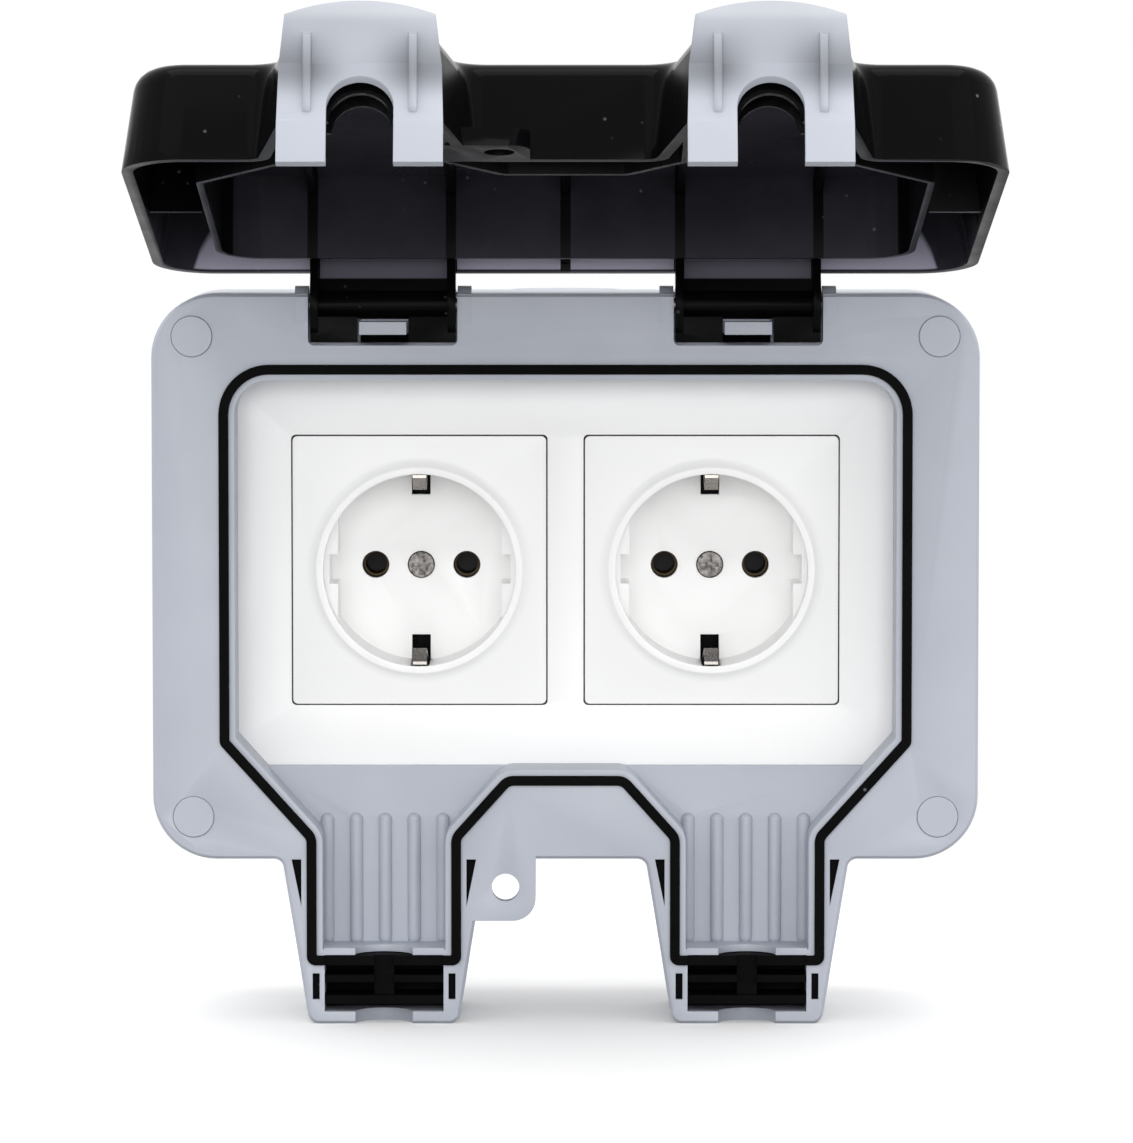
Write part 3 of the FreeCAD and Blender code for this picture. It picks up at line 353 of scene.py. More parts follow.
@dataclass(frozen=True)
class MouldedPlastic:
    """A moulded plastic finish with a fine grain and slight mottling.

    Args:
        name: the material's name.
        colour: linear red, green and blue.
        gloss: how shiny it is.
        grain: strength of the fine surface grain.
        mottle: how far the colour drifts over the part, from 0 to 1.
        dust: how much pale dust lies on it, from 0 to 1.
        mirror: how strongly it mirrors, 0.5 being plain plastic.
        grain_scale: how many grains there are in a metre.
        grain_depth: the grain's depth in metres.
        drift_scale: how many drifts of the colour there are in a metre.
        sheen_scale: how many shinier and duller patches there are in a metre.
        sheen_span: values of the sheen's noise between which it changes.
        sheen: roughness of the shiniest and the dullest patches, against the gloss.
    """

    name: str
    colour: Colour
    gloss: Gloss = Gloss.SATIN
    grain: float = 0.12
    mottle: float = 0.05
    dust: float = 0.0
    mirror: float = 0.5
    grain_scale: float = 2600.0
    grain_depth: float = 0.05 * MM
    drift_scale: float = 28.0
    sheen_scale: float = 90.0
    sheen_span: tuple[float, float] = (0.25, 0.75)
    sheen: tuple[float, float] = (0.88, 1.14)

    def build(self) -> bpy.types.Material:
        """Makes the material.

        Returns:
            The finished material.
        """
        material, graph, shader = new_material(self.name)
        graph.feed(shader.inputs["Specular IOR Level"], self.mirror)
        colour = graph.ramp(graph.noise(self.drift_scale, DRIFT_OCTAVES), NOISE_SPAN,
                            scaled(self.colour, 1 - self.mottle),
                            scaled(self.colour, 1 + self.mottle))
        if self.dust > 0:
            colour = Dust(self.dust).over(graph, colour)
        graph.feed(shader.inputs["Base Color"], self.paint_light(graph, colour))
        shiny, dull = (grey(self.gloss.value * share) for share in self.sheen)
        sheen = graph.ramp(graph.noise(self.sheen_scale, SHEEN_OCTAVES), self.sheen_span,
                           shiny, dull)
        graph.feed(shader.inputs["Roughness"], sheen)
        graph.bump(shader, graph.noise(self.grain_scale, GRAIN_OCTAVES), self.grain,
                   self.grain_depth)
        return material

    def paint_light(self, graph: Graph, colour: Socket) -> Socket:
        """Gives the colour as it is, for a finish that paints light and shade on it to change."""
        return colour


@dataclass(frozen=True)
class LatchPlastic(MouldedPlastic):
    """The latches' thin plastic, with painted shade across the crease and a painted rim highlight.

    Args:
        band: heights, in metres on the open lid, where the band of painted shade starts, is
        darkest and ends.
        sides: how far from the latch's middle, in metres, the band fades in.
        rim: heights between which the finger tab's thin rim grows paler, as a painted highlight.
        shade: how much darker the band is.
        middle: share of the shade that is left at the latch's middle.
        darkest: the band's colour under a full shade, against the plain colour.
        rim_highlight: how much paler the rim is, as a painted highlight.
        pale: grey of the rim under a full painted highlight.
    """

    band: tuple[float, float, float] = (95.5 * MM, 101.8 * MM, 112.0 * MM)
    sides: tuple[float, float] = (1.0 * MM, 9.0 * MM)
    rim: tuple[float, float] = (110.4 * MM, 112.6 * MM)
    shade: float = 0.6
    middle: float = 0.25
    darkest: float = 0.12
    rim_highlight: float = 0.18
    pale: float = 0.9

    def paint_light(self, graph: Graph, colour: Socket) -> Socket:
        """Paints shade in the band and a highlight on the rim.

        Args:
            graph: the material's graph.
            colour: the plastic's colour.

        Returns:
            The changed colour.
        """
        # Painted shade: a dark band across the crease, fainter at the latch's middle.
        height = graph.along("Z")
        low, darkest, high = self.band
        near, far = self.sides
        aside = graph.calculate("ABSOLUTE", graph.along("X"))
        inner = graph.step(aside, LEG_CENTRE - near, LEG_CENTRE - far)
        outer = graph.step(aside, LEG_CENTRE + near, LEG_CENTRE + far)
        part = graph.calculate("MULTIPLY_ADD", graph.calculate("MAXIMUM", inner, outer),
                               self.shade * (1 - self.middle), self.shade * self.middle)
        amount = graph.product(graph.step(height, low, darkest),
                               graph.step(height, high, darkest), part)
        colour = graph.blend(amount, colour, scaled(self.colour, self.darkest))
        # Painted highlight: the finger tab's rim grows paler.
        rim_highlight = graph.product(graph.step(height, *self.rim), self.rim_highlight)
        return graph.blend(rim_highlight, colour, grey(self.pale))


@dataclass(frozen=True)
class SmokedPlastic:
    """The lid's near black plastic, with painted light where light comes through its thin walls.

    Args:
        name: the material's name.
        mirror: how strongly it mirrors, 0.5 being plain plastic.
        sheen: roughness of its shiniest and its dullest patches.
        deep: colour of the ribs and the thick walls.
        panel: colour of the broad front wall and of the walls near the hinges, with painted light.
        thin: colour of the thin wall beside the hinges, the light through it painted in.
        cloud: how much paler the panel's clouds are.
        panel_depth: depth beyond which a face is of the front wall.
        panel_height: height above which a wall has the panel's colour too.
        latch_height: height below which the front wall is dark again.
        wall_height: height above which the wall counts as thin.
        rim_depth: depth beyond which an arm's wall may be thin.
        edge_depth: depth beyond which the wall beside the arms is thin.
        arm_shade: how much darker the thin wall's painted light is between a hinge arm's side
            plates.
        rib_half: half the thickness of a rib that is left dark.
        blur: half the width of the step from one colour to the next.
        cloud_scale: how many clouds there are in a metre.
        cloud_span: values of the clouds' noise between which they grow paler.
        dust: how much pale dust lies on it, from 0 to 1.
        sheen_scale: how many shinier and duller patches there are in a metre.
        sheen_span: values of the sheen's noise between which it changes.
        grain: strength of the fine surface grain.
        grain_scale: how many grains there are in a metre.
        grain_depth: the grain's depth in metres.
    """

    name: str
    mirror: float
    sheen: tuple[float, float]
    deep: Colour = (0.0025, 0.0025, 0.003)
    panel: Colour = (0.0025, 0.0025, 0.003)
    thin: Colour = (0.012, 0.0115, 0.0155)
    cloud: float = 1.5
    panel_depth: float = 17.3 * MM
    panel_height: float = 38.0 * MM
    latch_height: float = -50.0 * MM
    wall_height: float = 53.4 * MM
    rim_depth: float = -1.1 * MM
    edge_depth: float = 0.95 * MM
    arm_shade: float = 0.55
    rib_half: float = 1.05 * MM
    blur: float = 0.15 * MM
    cloud_scale: float = 55.0
    cloud_span: tuple[float, float] = (0.35, 0.7)
    dust: float = 0.35
    sheen_scale: float = 70.0
    sheen_span: tuple[float, float] = (0.3, 0.8)
    grain: float = 0.05
    grain_scale: float = 900.0
    grain_depth: float = 0.04 * MM

    def build(self) -> bpy.types.Material:
        """Makes the material.

        Returns:
            The finished material.
        """
        material, graph, shader = new_material(self.name)
        graph.feed(shader.inputs["Specular IOR Level"], self.mirror)
        open_wall = self.off_ribs(graph)
        rim = self.deeper(graph, self.rim_depth)
        smoky = graph.calculate("MAXIMUM", self.deeper(graph, self.panel_depth),
                                self.higher(graph, self.panel_height))
        smoky = graph.product(smoky, open_wall, self.higher(graph, self.latch_height), rim)
        # Painted light: the front wall and the walls near the hinges are paler where light comes
        # through.
        panel = graph.ramp(graph.noise(self.cloud_scale, SHEEN_OCTAVES), self.cloud_span,
                           self.panel, scaled(self.panel, self.cloud))
        colour = graph.blend(smoky, self.deep, panel)
        arm = self.between_plates(graph)
        start = graph.calculate("MAXIMUM", self.deeper(graph, self.edge_depth),
                                graph.product(rim, arm))
        shade = graph.calculate("MULTIPLY_ADD", arm, -self.arm_shade, 1.0)
        # Painted light: the thin wall beside the hinges, darker between an arm's side plates.
        lit = graph.product(self.higher(graph, self.wall_height), start, open_wall, shade)
        colour = Dust(self.dust).over(graph, graph.blend(lit, colour, self.thin))
        graph.feed(shader.inputs["Base Color"], colour)
        shiny, dull = self.sheen
        sheen = graph.ramp(graph.noise(self.sheen_scale, SHEEN_OCTAVES), self.sheen_span,
                           grey(shiny), grey(dull))
        graph.feed(shader.inputs["Roughness"], sheen)
        graph.bump(shader, graph.noise(self.grain_scale, GRAIN_OCTAVES), self.grain,
                   self.grain_depth)
        return material

    def deeper(self, graph: Graph, depth: float) -> Socket:
        """Gives 1 where the closed lid lies deeper than a depth, and 0 elsewhere."""
        return self.beyond(graph, LID_DEPTH, depth + HINGE_Y - FRONT_Y)

    def higher(self, graph: Graph, height: float) -> Socket:
        """Gives 1 where the closed lid lies above a height, and 0 elsewhere."""
        return self.beyond(graph, LID_HEIGHT, height - HINGE_Z)

    def beyond(self, graph: Graph, way: Vector, level: float) -> Socket:
        """Says whether a point of the lid lies beyond a level.

        Args:
            graph: the material's graph.
            way: the direction of the measure, on the open lid.
            level: the level in metres from the hinge axis.

        Returns:
            A value that goes from 0 to 1 at the level.
        """
        measure = graph.add("VectorMath", operation="DOT_PRODUCT")
        for socket, value in zip(measure.inputs, (graph.place(), way)):
            graph.feed(socket, value)
        level += way.dot(HINGE_AXIS)
        return graph.step(measure.outputs["Value"], level - self.blur, level + self.blur,
                          "LINEAR")

    def off_ribs(self, graph: Graph) -> Socket:
        """Leaves out the ribs, which stand in line with the hinge arms and in the middle.

        Args:
            graph: the material's graph.

        Returns:
            A value of 0 on a rib and 1 between them.
        """
        across = graph.along("X")
        arms = [hand * LEG_CENTRE + side * ARM_HALF for _, hand in HANDS for side in (-1, 1)]
        ribs = [graph.calculate("COMPARE", across, rib, self.rib_half) for rib in (0.0, *arms)]
        return graph.product(*(graph.calculate("SUBTRACT", 1.0, rib) for rib in ribs))

    def between_plates(self, graph: Graph) -> Socket:
        """Gives 1 between a hinge arm's side plates, where two walls overlap, and 0 beside."""
        aside = graph.calculate("ABSOLUTE", graph.along("X"))
        return graph.calculate("COMPARE", aside, LEG_CENTRE, ARM_HALF)


@dataclass(frozen=True)
class Metal:
    """A bare or plated metal with fine drawing lines, painted dark as shade beyond a given depth.

    Args:
        name: the material's name.
        colour: linear red, green and blue.
        roughness: how rough it is on average.
        stretch: how closely the lines follow each other along each axis.
        contrast: how much darker the lines are, from 0 to 1.
        fineness: how many lines there are in a metre.
        dark_beyond: depth behind the front plane, in metres, beyond which it is painted dark as
            shade.
        fade: how far the painted shade takes to set in, in metres.
        shade_grey: grey of the metal under the painted shade.
        sheen: roughness of the shiniest and the dullest lines, against the average.
        relief: strength of the lines' bump.
        relief_depth: depth of the lines in metres.
    """

    name: str
    colour: Colour
    roughness: float = 0.3
    stretch: tuple[float, float, float] = (1.0, 1.0, 0.08)
    contrast: float = 0.2
    fineness: float = 3500.0
    dark_beyond: float = 1.0
    fade: float = 2.0 * MM
    shade_grey: float = 0.004
    sheen: tuple[float, float] = (0.8, 1.3)
    relief: float = 0.1
    relief_depth: float = 0.03 * MM

    def build(self) -> bpy.types.Material:
        """Makes the material.

        Returns:
            The finished material.
        """
        material, graph, shader = new_material(self.name)
        graph.feed(shader.inputs["Metallic"], 1.0)
        drawn = graph.add("Mapping")
        graph.feed(drawn.inputs["Scale"], self.stretch)
        graph.feed(drawn.inputs["Vector"], graph.place())
        lines = graph.noise(self.fineness, DRIFT_OCTAVES, drawn.outputs["Vector"])
        tone = graph.ramp(lines, NOISE_SPAN, scaled(self.colour, 1 - self.contrast),
                          self.colour)
        # Painted shade: deeper than dark_beyond behind the front plane the metal turns near black.
        start = FRONT_Y + self.dark_beyond
        deep = graph.step(graph.along("Y"), start, start + self.fade, "LINEAR")
        graph.feed(shader.inputs["Base Color"], graph.blend(deep, tone, grey(self.shade_grey)))
        shiny, dull = (grey(self.roughness * share) for share in self.sheen)
        graph.feed(shader.inputs["Roughness"], graph.ramp(lines, NOISE_SPAN, shiny, dull))
        graph.bump(shader, lines, self.relief, self.relief_depth)
        return material


@dataclass
class Finishes:
    """Holds the finishes and says which material slot wears which.

    Args:
        housing: the grey of the frame and the box.
        latch: the latches' grey, with a painted shade band and a painted rim highlight.
        white: the face plate and the socket covers.
        rubber: the gasket and its combs.
        inner: the black plastic inside, partly its own colour and partly painted shade in the pin
            holes.
        lid: the lid's outside.
        lid_inside: the lid's inside, duller and with painted light where light comes through.
        nickel: the earth straps, painted dark as shade deeper than 24 mm behind the front plane.
        brass: the pin contacts, painted dark as the shade in the pin holes.
        steel: the yoke, the pins and the hidden screws.
        screw: the centre screws.
        built: the finished material of each slot.
    """

    housing: MouldedPlastic = MouldedPlastic("housing_grey", (0.415, 0.44, 0.5))
    latch: LatchPlastic = LatchPlastic("latch_grey", (0.415, 0.44, 0.495))
    white: MouldedPlastic = MouldedPlastic("cover_white", (0.93, 0.93, 0.925), Gloss.SOFT,
                                           grain=0.04, mottle=0.012)
    rubber: MouldedPlastic = MouldedPlastic("seal_rubber", (0.002, 0.002, 0.0023), Gloss.RUBBER,
                                            grain=0.3, dust=0.3, mirror=0.045)
    # Near black, partly the plastic's own colour and partly painted shade at the pin holes'
    # floors.
    inner: MouldedPlastic = MouldedPlastic("mechanism_plastic", (0.006, 0.006, 0.006),
                                           mirror=0.2)
    lid: SmokedPlastic = SmokedPlastic("lid_smoked", 0.05, (0.1, 0.18))
    # The inside's panel and thin colours are painted light that comes through the walls.
    lid_inside: SmokedPlastic = SmokedPlastic("lid_smoked_inside", 0.035, (0.25, 0.4),
                                              panel=(0.021, 0.02, 0.0265),
                                              thin=(0.4, 0.39, 0.485))
    # The earth straps' far parts are painted near black as shade.
    nickel: Metal = Metal("nickel_plate", (0.5, 0.465, 0.43), 0.28, dark_beyond=24.0 * MM)
    # The contacts' brass is painted dark: painted shade in the pin holes.
    brass: Metal = Metal("contact_brass", (0.06, 0.044, 0.026), 0.45)
    steel: Metal = Metal("zinc_steel", (0.58, 0.58, 0.58), 0.36)
    screw: Metal = Metal("screw_steel", (0.24, 0.225, 0.215), 0.3, (1.0, 0.3, 1.0),
                         contrast=0.9, fineness=1100.0)
    built: dict[str, bpy.types.Material] = field(default_factory=dict)

    def build(self) -> None:
        """Makes the material of each of the record's slots, of the screws and the lid's inside."""
        finishes = {"housing": self.housing, "latch": self.latch, "lid": self.lid,
                    "screw": self.screw, "lid_inside": self.lid_inside, "rubber": self.rubber,
                    "white_cover": self.white, "mechanism": self.inner, "brass": self.brass,
                    "nickel": self.nickel, "steel": self.steel}
        self.built = {slot: finish.build() for slot, finish in finishes.items()}

    def dress(self, piece: bpy.types.Object, slot: str) -> None:
        """Gives a piece the material of a slot.

        Args:
            piece: the object to dress.
            slot: the record's material slot.
        """
        piece.data.materials.clear()
        piece.data.materials.append(self.built[slot])


def body_of_node(node: str) -> str:
    """Finds the body that a node belongs to.

    Args:
        node: the node's name.

    Returns:
        The body's name.
    """
    for body, nodes in frame["record"]["behaviour"]["bodies"].items():
        if node in nodes:
            return body
    raise KeyError(node)


def put_in_scene(name: str, data: bpy.types.ID) -> bpy.types.Object:
    """Makes an object of a mesh, a lamp or a camera, and puts it in the scene.

    Args:
        name: the object's name.
        data: its mesh, lamp or camera.

    Returns:
        The object.
    """
    thing = bpy.data.objects.new(name, data)
    bpy.context.scene.collection.objects.link(thing)
    log.info("made %s", name)
    return thing


def new_mesh(name: str, points: list[tuple[float, float, float]],
             faces: list[tuple[int, ...]]) -> bpy.types.Mesh:
    """Makes a mesh.

    Args:
        name: the mesh's name.
        points: its corners in metres.
        faces: each face's corners, by their places in the list of points.

    Returns:
        The mesh.
    """
    mesh = bpy.data.meshes.new(name)
    mesh.from_pydata(points, [], faces)
    mesh.validate()
    return mesh


@dataclass
class Casing:
    """The moulded pieces, whose sharp edges are softened as a mould leaves them.

    Args:
        finishes: the finishes to dress them in.
        edges: the radius of the softened edges of each node, in metres.
        rounds: how many faces make up a softened edge.
        weld: how near two points are that count as one, in metres.
        flat_angle: the angle under which two faces count as one flat face.
        sharp_angle: the angle over which an edge is sharp and is softened.
        hinge_side: closed height of the lid, in metres, above which a wall that looks to its
            middle is inside.
        facing: how squarely a face looks a way to count as facing it, from 0 to 1.
        lift: how far off a face a ray starts, in metres.
    """

    finishes: Finishes
    edges: dict[str, float] = field(default_factory=lambda: {
        "front_frame": 0.25 * MM, "lid": 0.25 * MM, "latch_left": 0.5 * MM,
        "latch_right": 0.5 * MM, "socket_cover_left": 0.2 * MM,
        "socket_cover_right": 0.2 * MM, "face_plate": 0.15 * MM, "gasket": 0.2 * MM,
        "back_box": 0.4 * MM})
    rounds: int = 3
    weld: float = 0.002 * MM
    flat_angle: float = math.radians(0.6)
    sharp_angle: float = math.radians(28.0)
    hinge_side: float = 30.0 * MM
    facing: float = 0.5
    lift: float = 0.05 * MM

    def build(self) -> None:
        """Dresses every node and softens those that are listed."""
        slots = {row["node"]: row["material_slot"] for row in frame["record"]["subparts"]}
        for node, piece in frame["nodes"].items():
            worn = "screw" if node.startswith("centre_screw") else slots[node]
            self.finishes.dress(piece, worn)
            log.info("dressed %s", node)
        for node, radius in self.edges.items():
            self.soften(node, slots[node], radius)

    def soften(self, node: str, slot: str, radius: float) -> None:
        """Makes a copy of a node with small rounds on its sharp edges.

        Args:
            node: the node's name.
            slot: the record's material slot.
            radius: the size of the rounds in metres.
        """
        mesh = frame["nodes"][node].data.copy()
        mesh.name = node + "_moulded"
        piece = put_in_scene(node + "_moulded", mesh)
        form = bmesh.new()
        form.from_mesh(mesh)
        bmesh.ops.remove_doubles(form, verts=form.verts, dist=self.weld)
        bmesh.ops.dissolve_limit(form, angle_limit=self.flat_angle, verts=form.verts,
                                 edges=form.edges)
        form.to_mesh(mesh)
        form.free()
        bevel = piece.modifiers.new("soft_edges", "BEVEL")
        bevel.width = radius
        bevel.segments = self.rounds
        bevel.limit_method = "ANGLE"
        bevel.angle_limit = self.sharp_angle
        bevel.use_clamp_overlap = True
        bevel.harden_normals = True
        for face in mesh.polygons:
            face.use_smooth = True
        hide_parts(node)
        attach(piece, body_of_node(node))
        self.finishes.dress(piece, slot)
        if node == "lid":
            self.split_lid(piece)

    def split_lid(self, piece: bpy.types.Object) -> None:
        """Gives the inside of the lid its duller finish, with the paler painted light.

        A face is outside where nothing stands in front of it and it doesn't face the frame.
        Near the hinges a wall's face that looks to the lid's middle is inside too.

        Args:
            piece: the lid's softened copy.
        """
        mesh = piece.data
        mesh.materials.append(self.finishes.built["lid_inside"])
        tree = BVHTree.FromPolygons([vertex.co for vertex in mesh.vertices],
                                    [face.vertices for face in mesh.polygons])
        for face in mesh.polygons:
            start = face.center + face.normal * self.lift
            hit = tree.ray_cast(start, face.normal)[0]
            inside = hit is not None or -face.normal.dot(LID_DEPTH) > self.facing
            height = (face.center - HINGE_AXIS).dot(LID_HEIGHT) + HINGE_Z
            rise = face.normal.dot(LID_HEIGHT)
            outward = face.normal.x * face.center.x + rise * height
            if height > self.hinge_side and math.hypot(face.normal.x, rise) > self.facing:
                inside = inside or outward < 0
            face.material_index = int(inside)


@dataclass
class ShadeLiners:
    """Dark plugs in the slots of each leg's face and dark pads in the hinge notches: painted
    shade.

    Args:
        finishes: the finishes to dress them in.
        depth: how far the plugs lie behind the front plane, in metres.
        thick: how thick a plug or pad is, in metres.
        corner: the three-cornered slot's inner and outer side from the leg's middle, and the
            heights of its top and its lower end.
        side: the upright slot's inner and outer side from the leg's middle, and the heights
            of its lower and upper end.
        notch: half the width of a hinge notch's pad, and the heights of its ends.
        notch_depth: how far a hinge notch's pad lies behind the front plane.
    """

    finishes: Finishes
    depth: float = 0.9 * MM
    thick: float = 3.0 * MM
    corner: tuple[float, float, float, float] = (16.85 * MM, 18.95 * MM, -58.35 * MM, -68.3 * MM)
    side: tuple[float, float, float, float] = (13.15 * MM, 14.7 * MM, -87.35 * MM, -81.85 * MM)
    notch: tuple[float, float, float] = (5.0 * MM, 46.9 * MM, 48.9 * MM)
    notch_depth: float = 15.4 * MM

    def build(self) -> None:
        """Adds a plug in every slot and a pad in every notch."""
        for name, hand in HANDS:
            centre = hand * LEG_CENTRE
            for way, end in ((-1, "a"), (1, "b")):
                inner, outer, top, low = self.corner
                outline = [(inner, top), (outer, top), (inner, low)]
                self.add(f"corner_shade_plug_{name}_{end}", centre, way, outline, self.depth)
                inner, outer, low, top = self.side
                outline = [(inner, top), (outer, top), (outer, low), (inner, low)]
                self.add(f"side_shade_plug_{name}_{end}", centre, way, outline, self.depth)
            half, low, top = self.notch
            outline = [(-half, low), (half, low), (half, top), (-half, top)]
            self.add(f"notch_shade_pad_{name}", centre, 1, outline, self.notch_depth)

    def add(self, name: str, centre: float, way: int, outline: list[tuple[float, float]],
            start: float) -> None:
        """Adds one plug.

        Args:
            name: the plug's name.
            centre: x of the leg's middle.
            way: which side of the leg it is on.
            outline: the slot's corners, from the leg's middle.
            start: how far the plug's face lies behind the front plane.
        """
        count = len(outline)
        points = [(centre + way * x, FRONT_Y + depth, z)
                  for depth in (start, start + self.thick) for x, z in outline]
        faces = [tuple(range(count)), tuple(range(2 * count - 1, count - 1, -1))]
        faces += [(i, i + count, (i + 1) % count + count, (i + 1) % count)
                  for i in range(count)]
        mesh = new_mesh(name, points, faces)
        form = bmesh.new()
        form.from_mesh(mesh)
        bmesh.ops.recalc_face_normals(form, faces=form.faces)
        form.to_mesh(mesh)
        form.free()
        # Each plug is a dark sheet of painted shade.
        plug = put_in_scene(name, mesh)
        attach(plug, "base")
        self.finishes.dress(plug, "rubber")


@dataclass
class GapShades:
    """Dark floors in the gaps round each socket insert and round each centre screw: painted shade.

    Args:
        finishes: the finishes to dress them in.
        spacing: between the two sockets, in metres.
        half: half the width and half the height of an insert.
        gap: width of the gap round it.
        depth: how far the gap's dark floor lies behind the face plate's front.
        plate: how far the face plate's front lies behind the front plane.
        screw: inner and outer radius of the ring round a centre screw.
        well: how far a well's floor lies behind the front plane.
        proud: how far the ring round a screw stands off the well's floor.
        thick: how thick a ring is.
        corners: how many corners a round ring has.
    """

    finishes: Finishes
    spacing: float = 60.2 * MM
    half: tuple[float, float] = (26.1 * MM, 27.65 * MM)
    gap: float = 0.3 * MM
    depth: float = 0.35 * MM
    plate: float = 13.6 * MM
    screw: tuple[float, float] = (2.5 * MM, 2.84 * MM)
    well: float = 29.8 * MM
    proud: float = 0.03 * MM
    thick: float = 0.02 * MM
    corners: int = 48

    def build(self) -> None:
        """Adds a dark floor of painted shade in each gap."""
        for name, hand in HANDS:
            centre = hand * self.spacing / 2
            level = FRONT_Y + self.plate + self.depth
            self.ring(f"insert_gap_shade_{name}", self.rectangle(centre, 0.0, level),
                      self.rectangle(centre, self.gap, level))
            level = FRONT_Y + self.well - self.proud
            inner, outer = (self.circle(centre, radius, level) for radius in self.screw)
            self.ring(f"screw_gap_shade_{name}", inner, outer)

    def rectangle(self, centre: float, grow: float, level: float) -> list[Vector]:
        """Gives the corners of an insert's outline, grown by a margin.

        Args:
            centre: x of the insert's middle.
            grow: the margin in metres.
            level: y of the outline.

        Returns:
            The four corners.
        """
        x, z = (size + grow for size in self.half)
        return [Vector((centre + a * x, level, b * z))
                for a, b in ((-1, -1), (1, -1), (1, 1), (-1, 1))]

    def circle(self, centre: float, radius: float, level: float) -> list[Vector]:
        """Gives the points of a circle round a socket's axis.

        Args:
            centre: x of the axis.
            radius: the circle's radius.
            level: y of the circle.

        Returns:
            The points in their order.
        """
        turns = (math.tau * i / self.corners for i in range(self.corners))
        return [Vector((centre + radius * math.cos(a), level, radius * math.sin(a)))
                for a in turns]

    def ring(self, name: str, inner: list[Vector], outer: list[Vector]) -> None:
        """Adds a flat closed ring between two outlines.

        Args:
            name: the ring's name.
            inner: the inner outline.
            outer: the outer outline, with as many points.
        """
        count = len(inner)
        back = Vector((0, self.thick, 0))
        points = inner + outer + [p + back for p in inner] + [p + back for p in outer]
        faces = []
        for i in range(count):
            j = (i + 1) % count
            faces += [(i, j, count + j, count + i),
                      (2 * count + i, 3 * count + i, 3 * count + j, 2 * count + j),
                      (i, 2 * count + i, 2 * count + j, j),
                      (count + i, count + j, 3 * count + j, 3 * count + i)]
        shade = put_in_scene(name, new_mesh(name, [tuple(p) for p in points], faces))
        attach(shade, "base")
        self.finishes.dress(shade, "mechanism")


@dataclass(frozen=True)
class Softbox:
    """A soft lamp that faces the object.

    Args:
        name: the lamp's name.
        place: where it hangs, in metres.
        size: its width and height in metres.
        power: its power in watts.
    """

    name: str
    place: tuple[float, float, float]
    size: tuple[float, float]
    power: float

    def hang(self) -> None:
        """Puts the lamp in the scene."""
        data = bpy.data.lights.new(self.name, "AREA")
        data.shape = "RECTANGLE"
        data.size, data.size_y = self.size
        data.energy = self.power
        lamp = put_in_scene(self.name, data)
        way = Vector((0, FRONT_Y, 0)) - Vector(self.place)
        lamp.location = self.place
        lamp.rotation_euler = way.to_track_quat("-Z", "Y").to_euler()


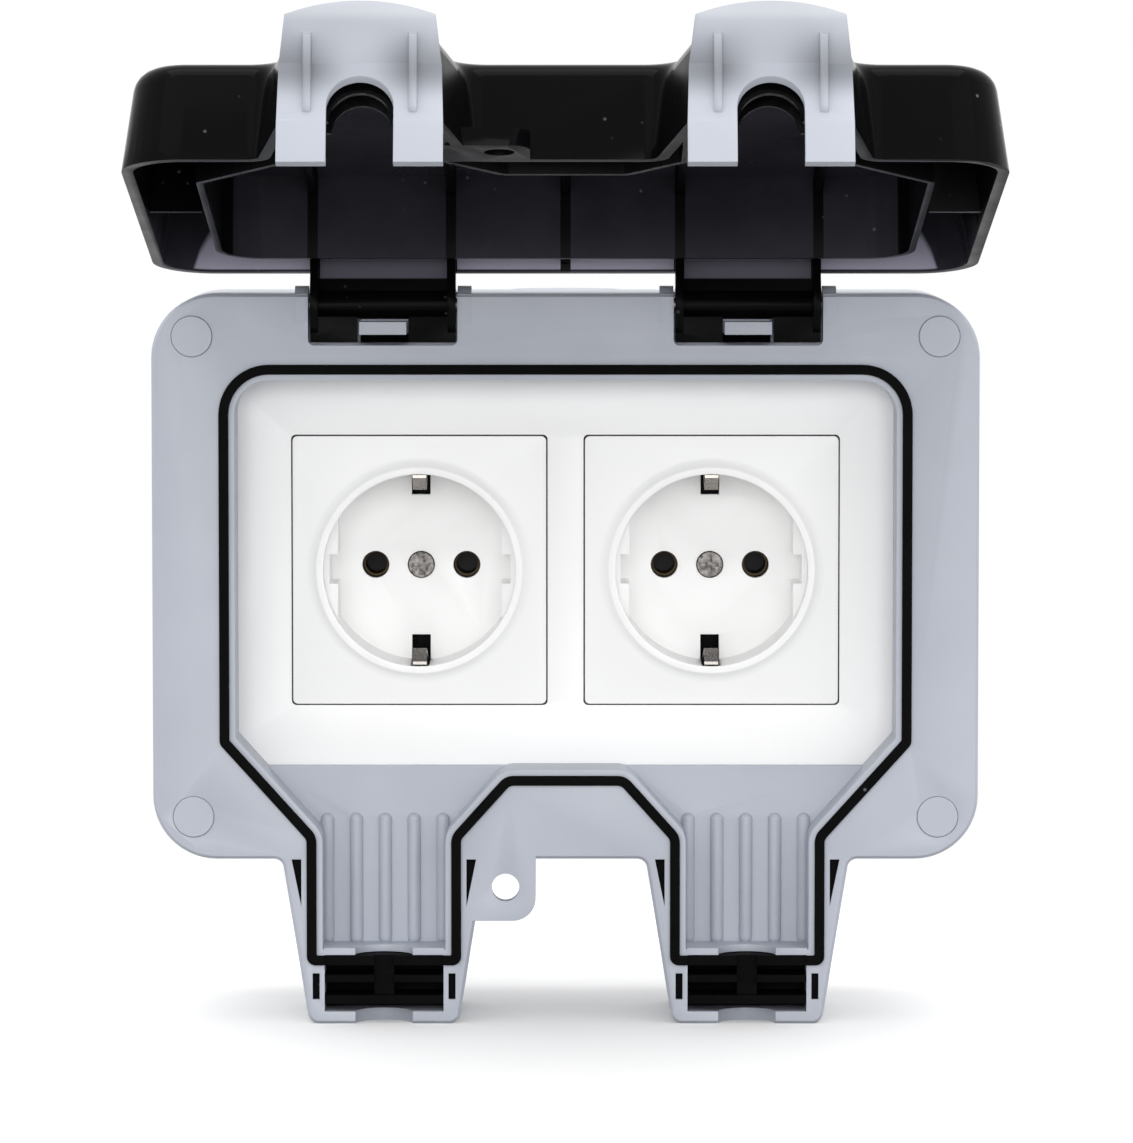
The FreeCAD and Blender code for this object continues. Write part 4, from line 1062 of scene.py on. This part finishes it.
@dataclass
class Studio:
    """The floor, the lamps, the world and the camera.

    Args:
        lamps: the soft lamps.
        sky: strength of the world's even light.
        floor_level: height of the floor, at the foot of the legs.
        floor_reach: half the floor's width in metres.
        floor_colour: the floor's colour.
        floor_roughness: how rough the floor is.
        floor_mirror: how strongly the floor mirrors, 0.5 being plain plastic.
        floor_lift: how much light the floor is given beyond what falls on it.
        floor_bounce: how much of the light the floor sends back to the object.
        shade_reach: how far the object's shadow shows on the floor, along X and Y.
        shade_fade: where in that reach the shadow begins to fade and where it ends.
        distance: from the camera to the frame's front plane.
        elevation: how far the camera looks down.
        aim: the point of the front plane at the picture's middle.
        lens: focal length in millimetres.
        sensor: width of the camera's picture in millimetres.
        clip: nearest and farthest distance that the camera shows, in metres.
    """

    lamps: tuple[Softbox, ...] = (
        Softbox("key_softbox", (-0.55, -0.9, 0.95), (0.9, 0.9), 1.2),
        Softbox("fill_softbox", (0.8, -0.9, 0.5), (0.8, 1.1), 0.8),
        Softbox("top_softbox", (0.0, -0.1, 1.2), (1.2, 0.8), 5.0),
        Softbox("front_softbox", (0.0, -1.7, 0.2), (1.0, 0.8), 9.0))
    sky: float = 1.32
    floor_level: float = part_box("front_frame")[0][2]
    floor_reach: float = 14.0
    floor_colour: Colour = (0.88, 0.88, 0.88)
    floor_roughness: float = 0.7
    floor_mirror: float = 0.1
    floor_lift: float = 0.1
    floor_bounce: float = 0.3
    shade_reach: tuple[float, float] = (150.0 * MM, 260.0 * MM)
    shade_fade: tuple[float, float] = (0.45, 1.0)
    distance: float = 1280.0 * MM
    elevation: float = math.radians(4.2)
    aim: tuple[float, float, float] = (0.2 * MM, FRONT_Y, 0.7 * MM)
    lens: float = 197.6
    sensor: float = 36.0
    clip: tuple[float, float] = (0.05, 60.0)

    def build(self) -> None:
        """Sets the stage up."""
        self.add_floor()
        self.add_world()
        for lamp in self.lamps:
            lamp.hang()
        self.add_camera()
        bpy.context.scene.view_settings.view_transform = "Standard"

    def add_floor(self) -> None:
        """Lays a broad pale floor, white beyond the object's shadow."""
        points = [(x * self.floor_reach, y * self.floor_reach, self.floor_level)
                  for x, y in ((-1, -1), (1, -1), (1, 1), (-1, 1))]
        floor = put_in_scene("floor", new_mesh("floor", points, [(0, 1, 2, 3)]))
        material, graph, shader = new_material("floor_white")
        graph.feed(shader.inputs["Base Color"], self.floor_colour)
        graph.feed(shader.inputs["Roughness"], self.floor_roughness)
        graph.feed(shader.inputs["Specular IOR Level"], self.floor_mirror)
        lift = graph.add("Emission")
        graph.feed(lift.inputs["Strength"], self.floor_lift)
        lifted = graph.add("AddShader")
        for socket, part in zip(lifted.inputs, (shader, lift)):
            graph.feed(socket, part.outputs[0])
        shown = graph.mix_shaders(self.beyond_shadow(graph), lifted, graph.add("Emission"))
        bounce = graph.add("BsdfDiffuse")
        graph.feed(bounce.inputs["Color"], grey(self.floor_bounce))
        seen = graph.mix_shaders(graph.looked_at(), bounce, shown)
        graph.feed(graph.nodes["Material Output"].inputs["Surface"], seen.outputs[0])
        floor.data.materials.append(material)

    def beyond_shadow(self, graph: Graph) -> Socket:
        """Says how far a point of the floor lies beyond the object's shadow.

        The shadow's middle is under the middle of the closed object's depth.

        Args:
            graph: the floor's graph.

        Returns:
            A value of 0 where the shadow shows in full and 1 beyond it.
        """
        across, along = self.shade_reach
        centred = graph.add("Mapping")
        graph.feed(centred.inputs["Location"], (0, -0.5 * FRONT_Y / along, 0))
        graph.feed(centred.inputs["Scale"], (1 / across, 1 / along, 0))
        graph.feed(centred.inputs["Vector"], graph.place())
        length = graph.add("VectorMath", operation="LENGTH")
        graph.feed(length.inputs[0], centred.outputs["Vector"])
        return graph.step(length.outputs["Value"], *self.shade_fade)

    def add_world(self) -> None:
        """Lights the world evenly, and shows it white behind the object."""
        world = bpy.data.worlds.new("studio")
        world.use_nodes = True
        graph = Graph(world.node_tree)
        soft, white = graph.nodes["Background"], graph.add("Background")
        for light, strength in ((soft, self.sky), (white, 1.0)):
            graph.feed(light.inputs["Color"], grey(1.0))
            graph.feed(light.inputs["Strength"], strength)
        mix = graph.mix_shaders(graph.looked_at(), soft, white)
        graph.feed(graph.nodes["World Output"].inputs["Surface"], mix.outputs[0])
        bpy.context.scene.world = world

    def add_camera(self) -> None:
        """Sets the camera at the photograph's angle."""
        data = bpy.data.cameras.new("camera")
        data.lens = self.lens
        data.sensor_width = self.sensor
        data.clip_start, data.clip_end = self.clip
        camera = put_in_scene("camera", data)
        back = Vector((0, -math.cos(self.elevation), math.sin(self.elevation)))
        camera.location = Vector(self.aim) + back * self.distance
        camera.rotation_euler = (-back).to_track_quat("-Z", "Y").to_euler()
        bpy.context.scene.camera = camera


def main() -> None:
    """Builds every class in order and reports each piece."""
    logging.basicConfig(level=logging.INFO, format="%(message)s")
    finishes = Finishes()
    finishes.build()
    Casing(finishes).build()
    ShadeLiners(finishes).build()
    GapShades(finishes).build()
    Studio().build()
    log.info("scene built")


if __name__ == "__main__":
    main()
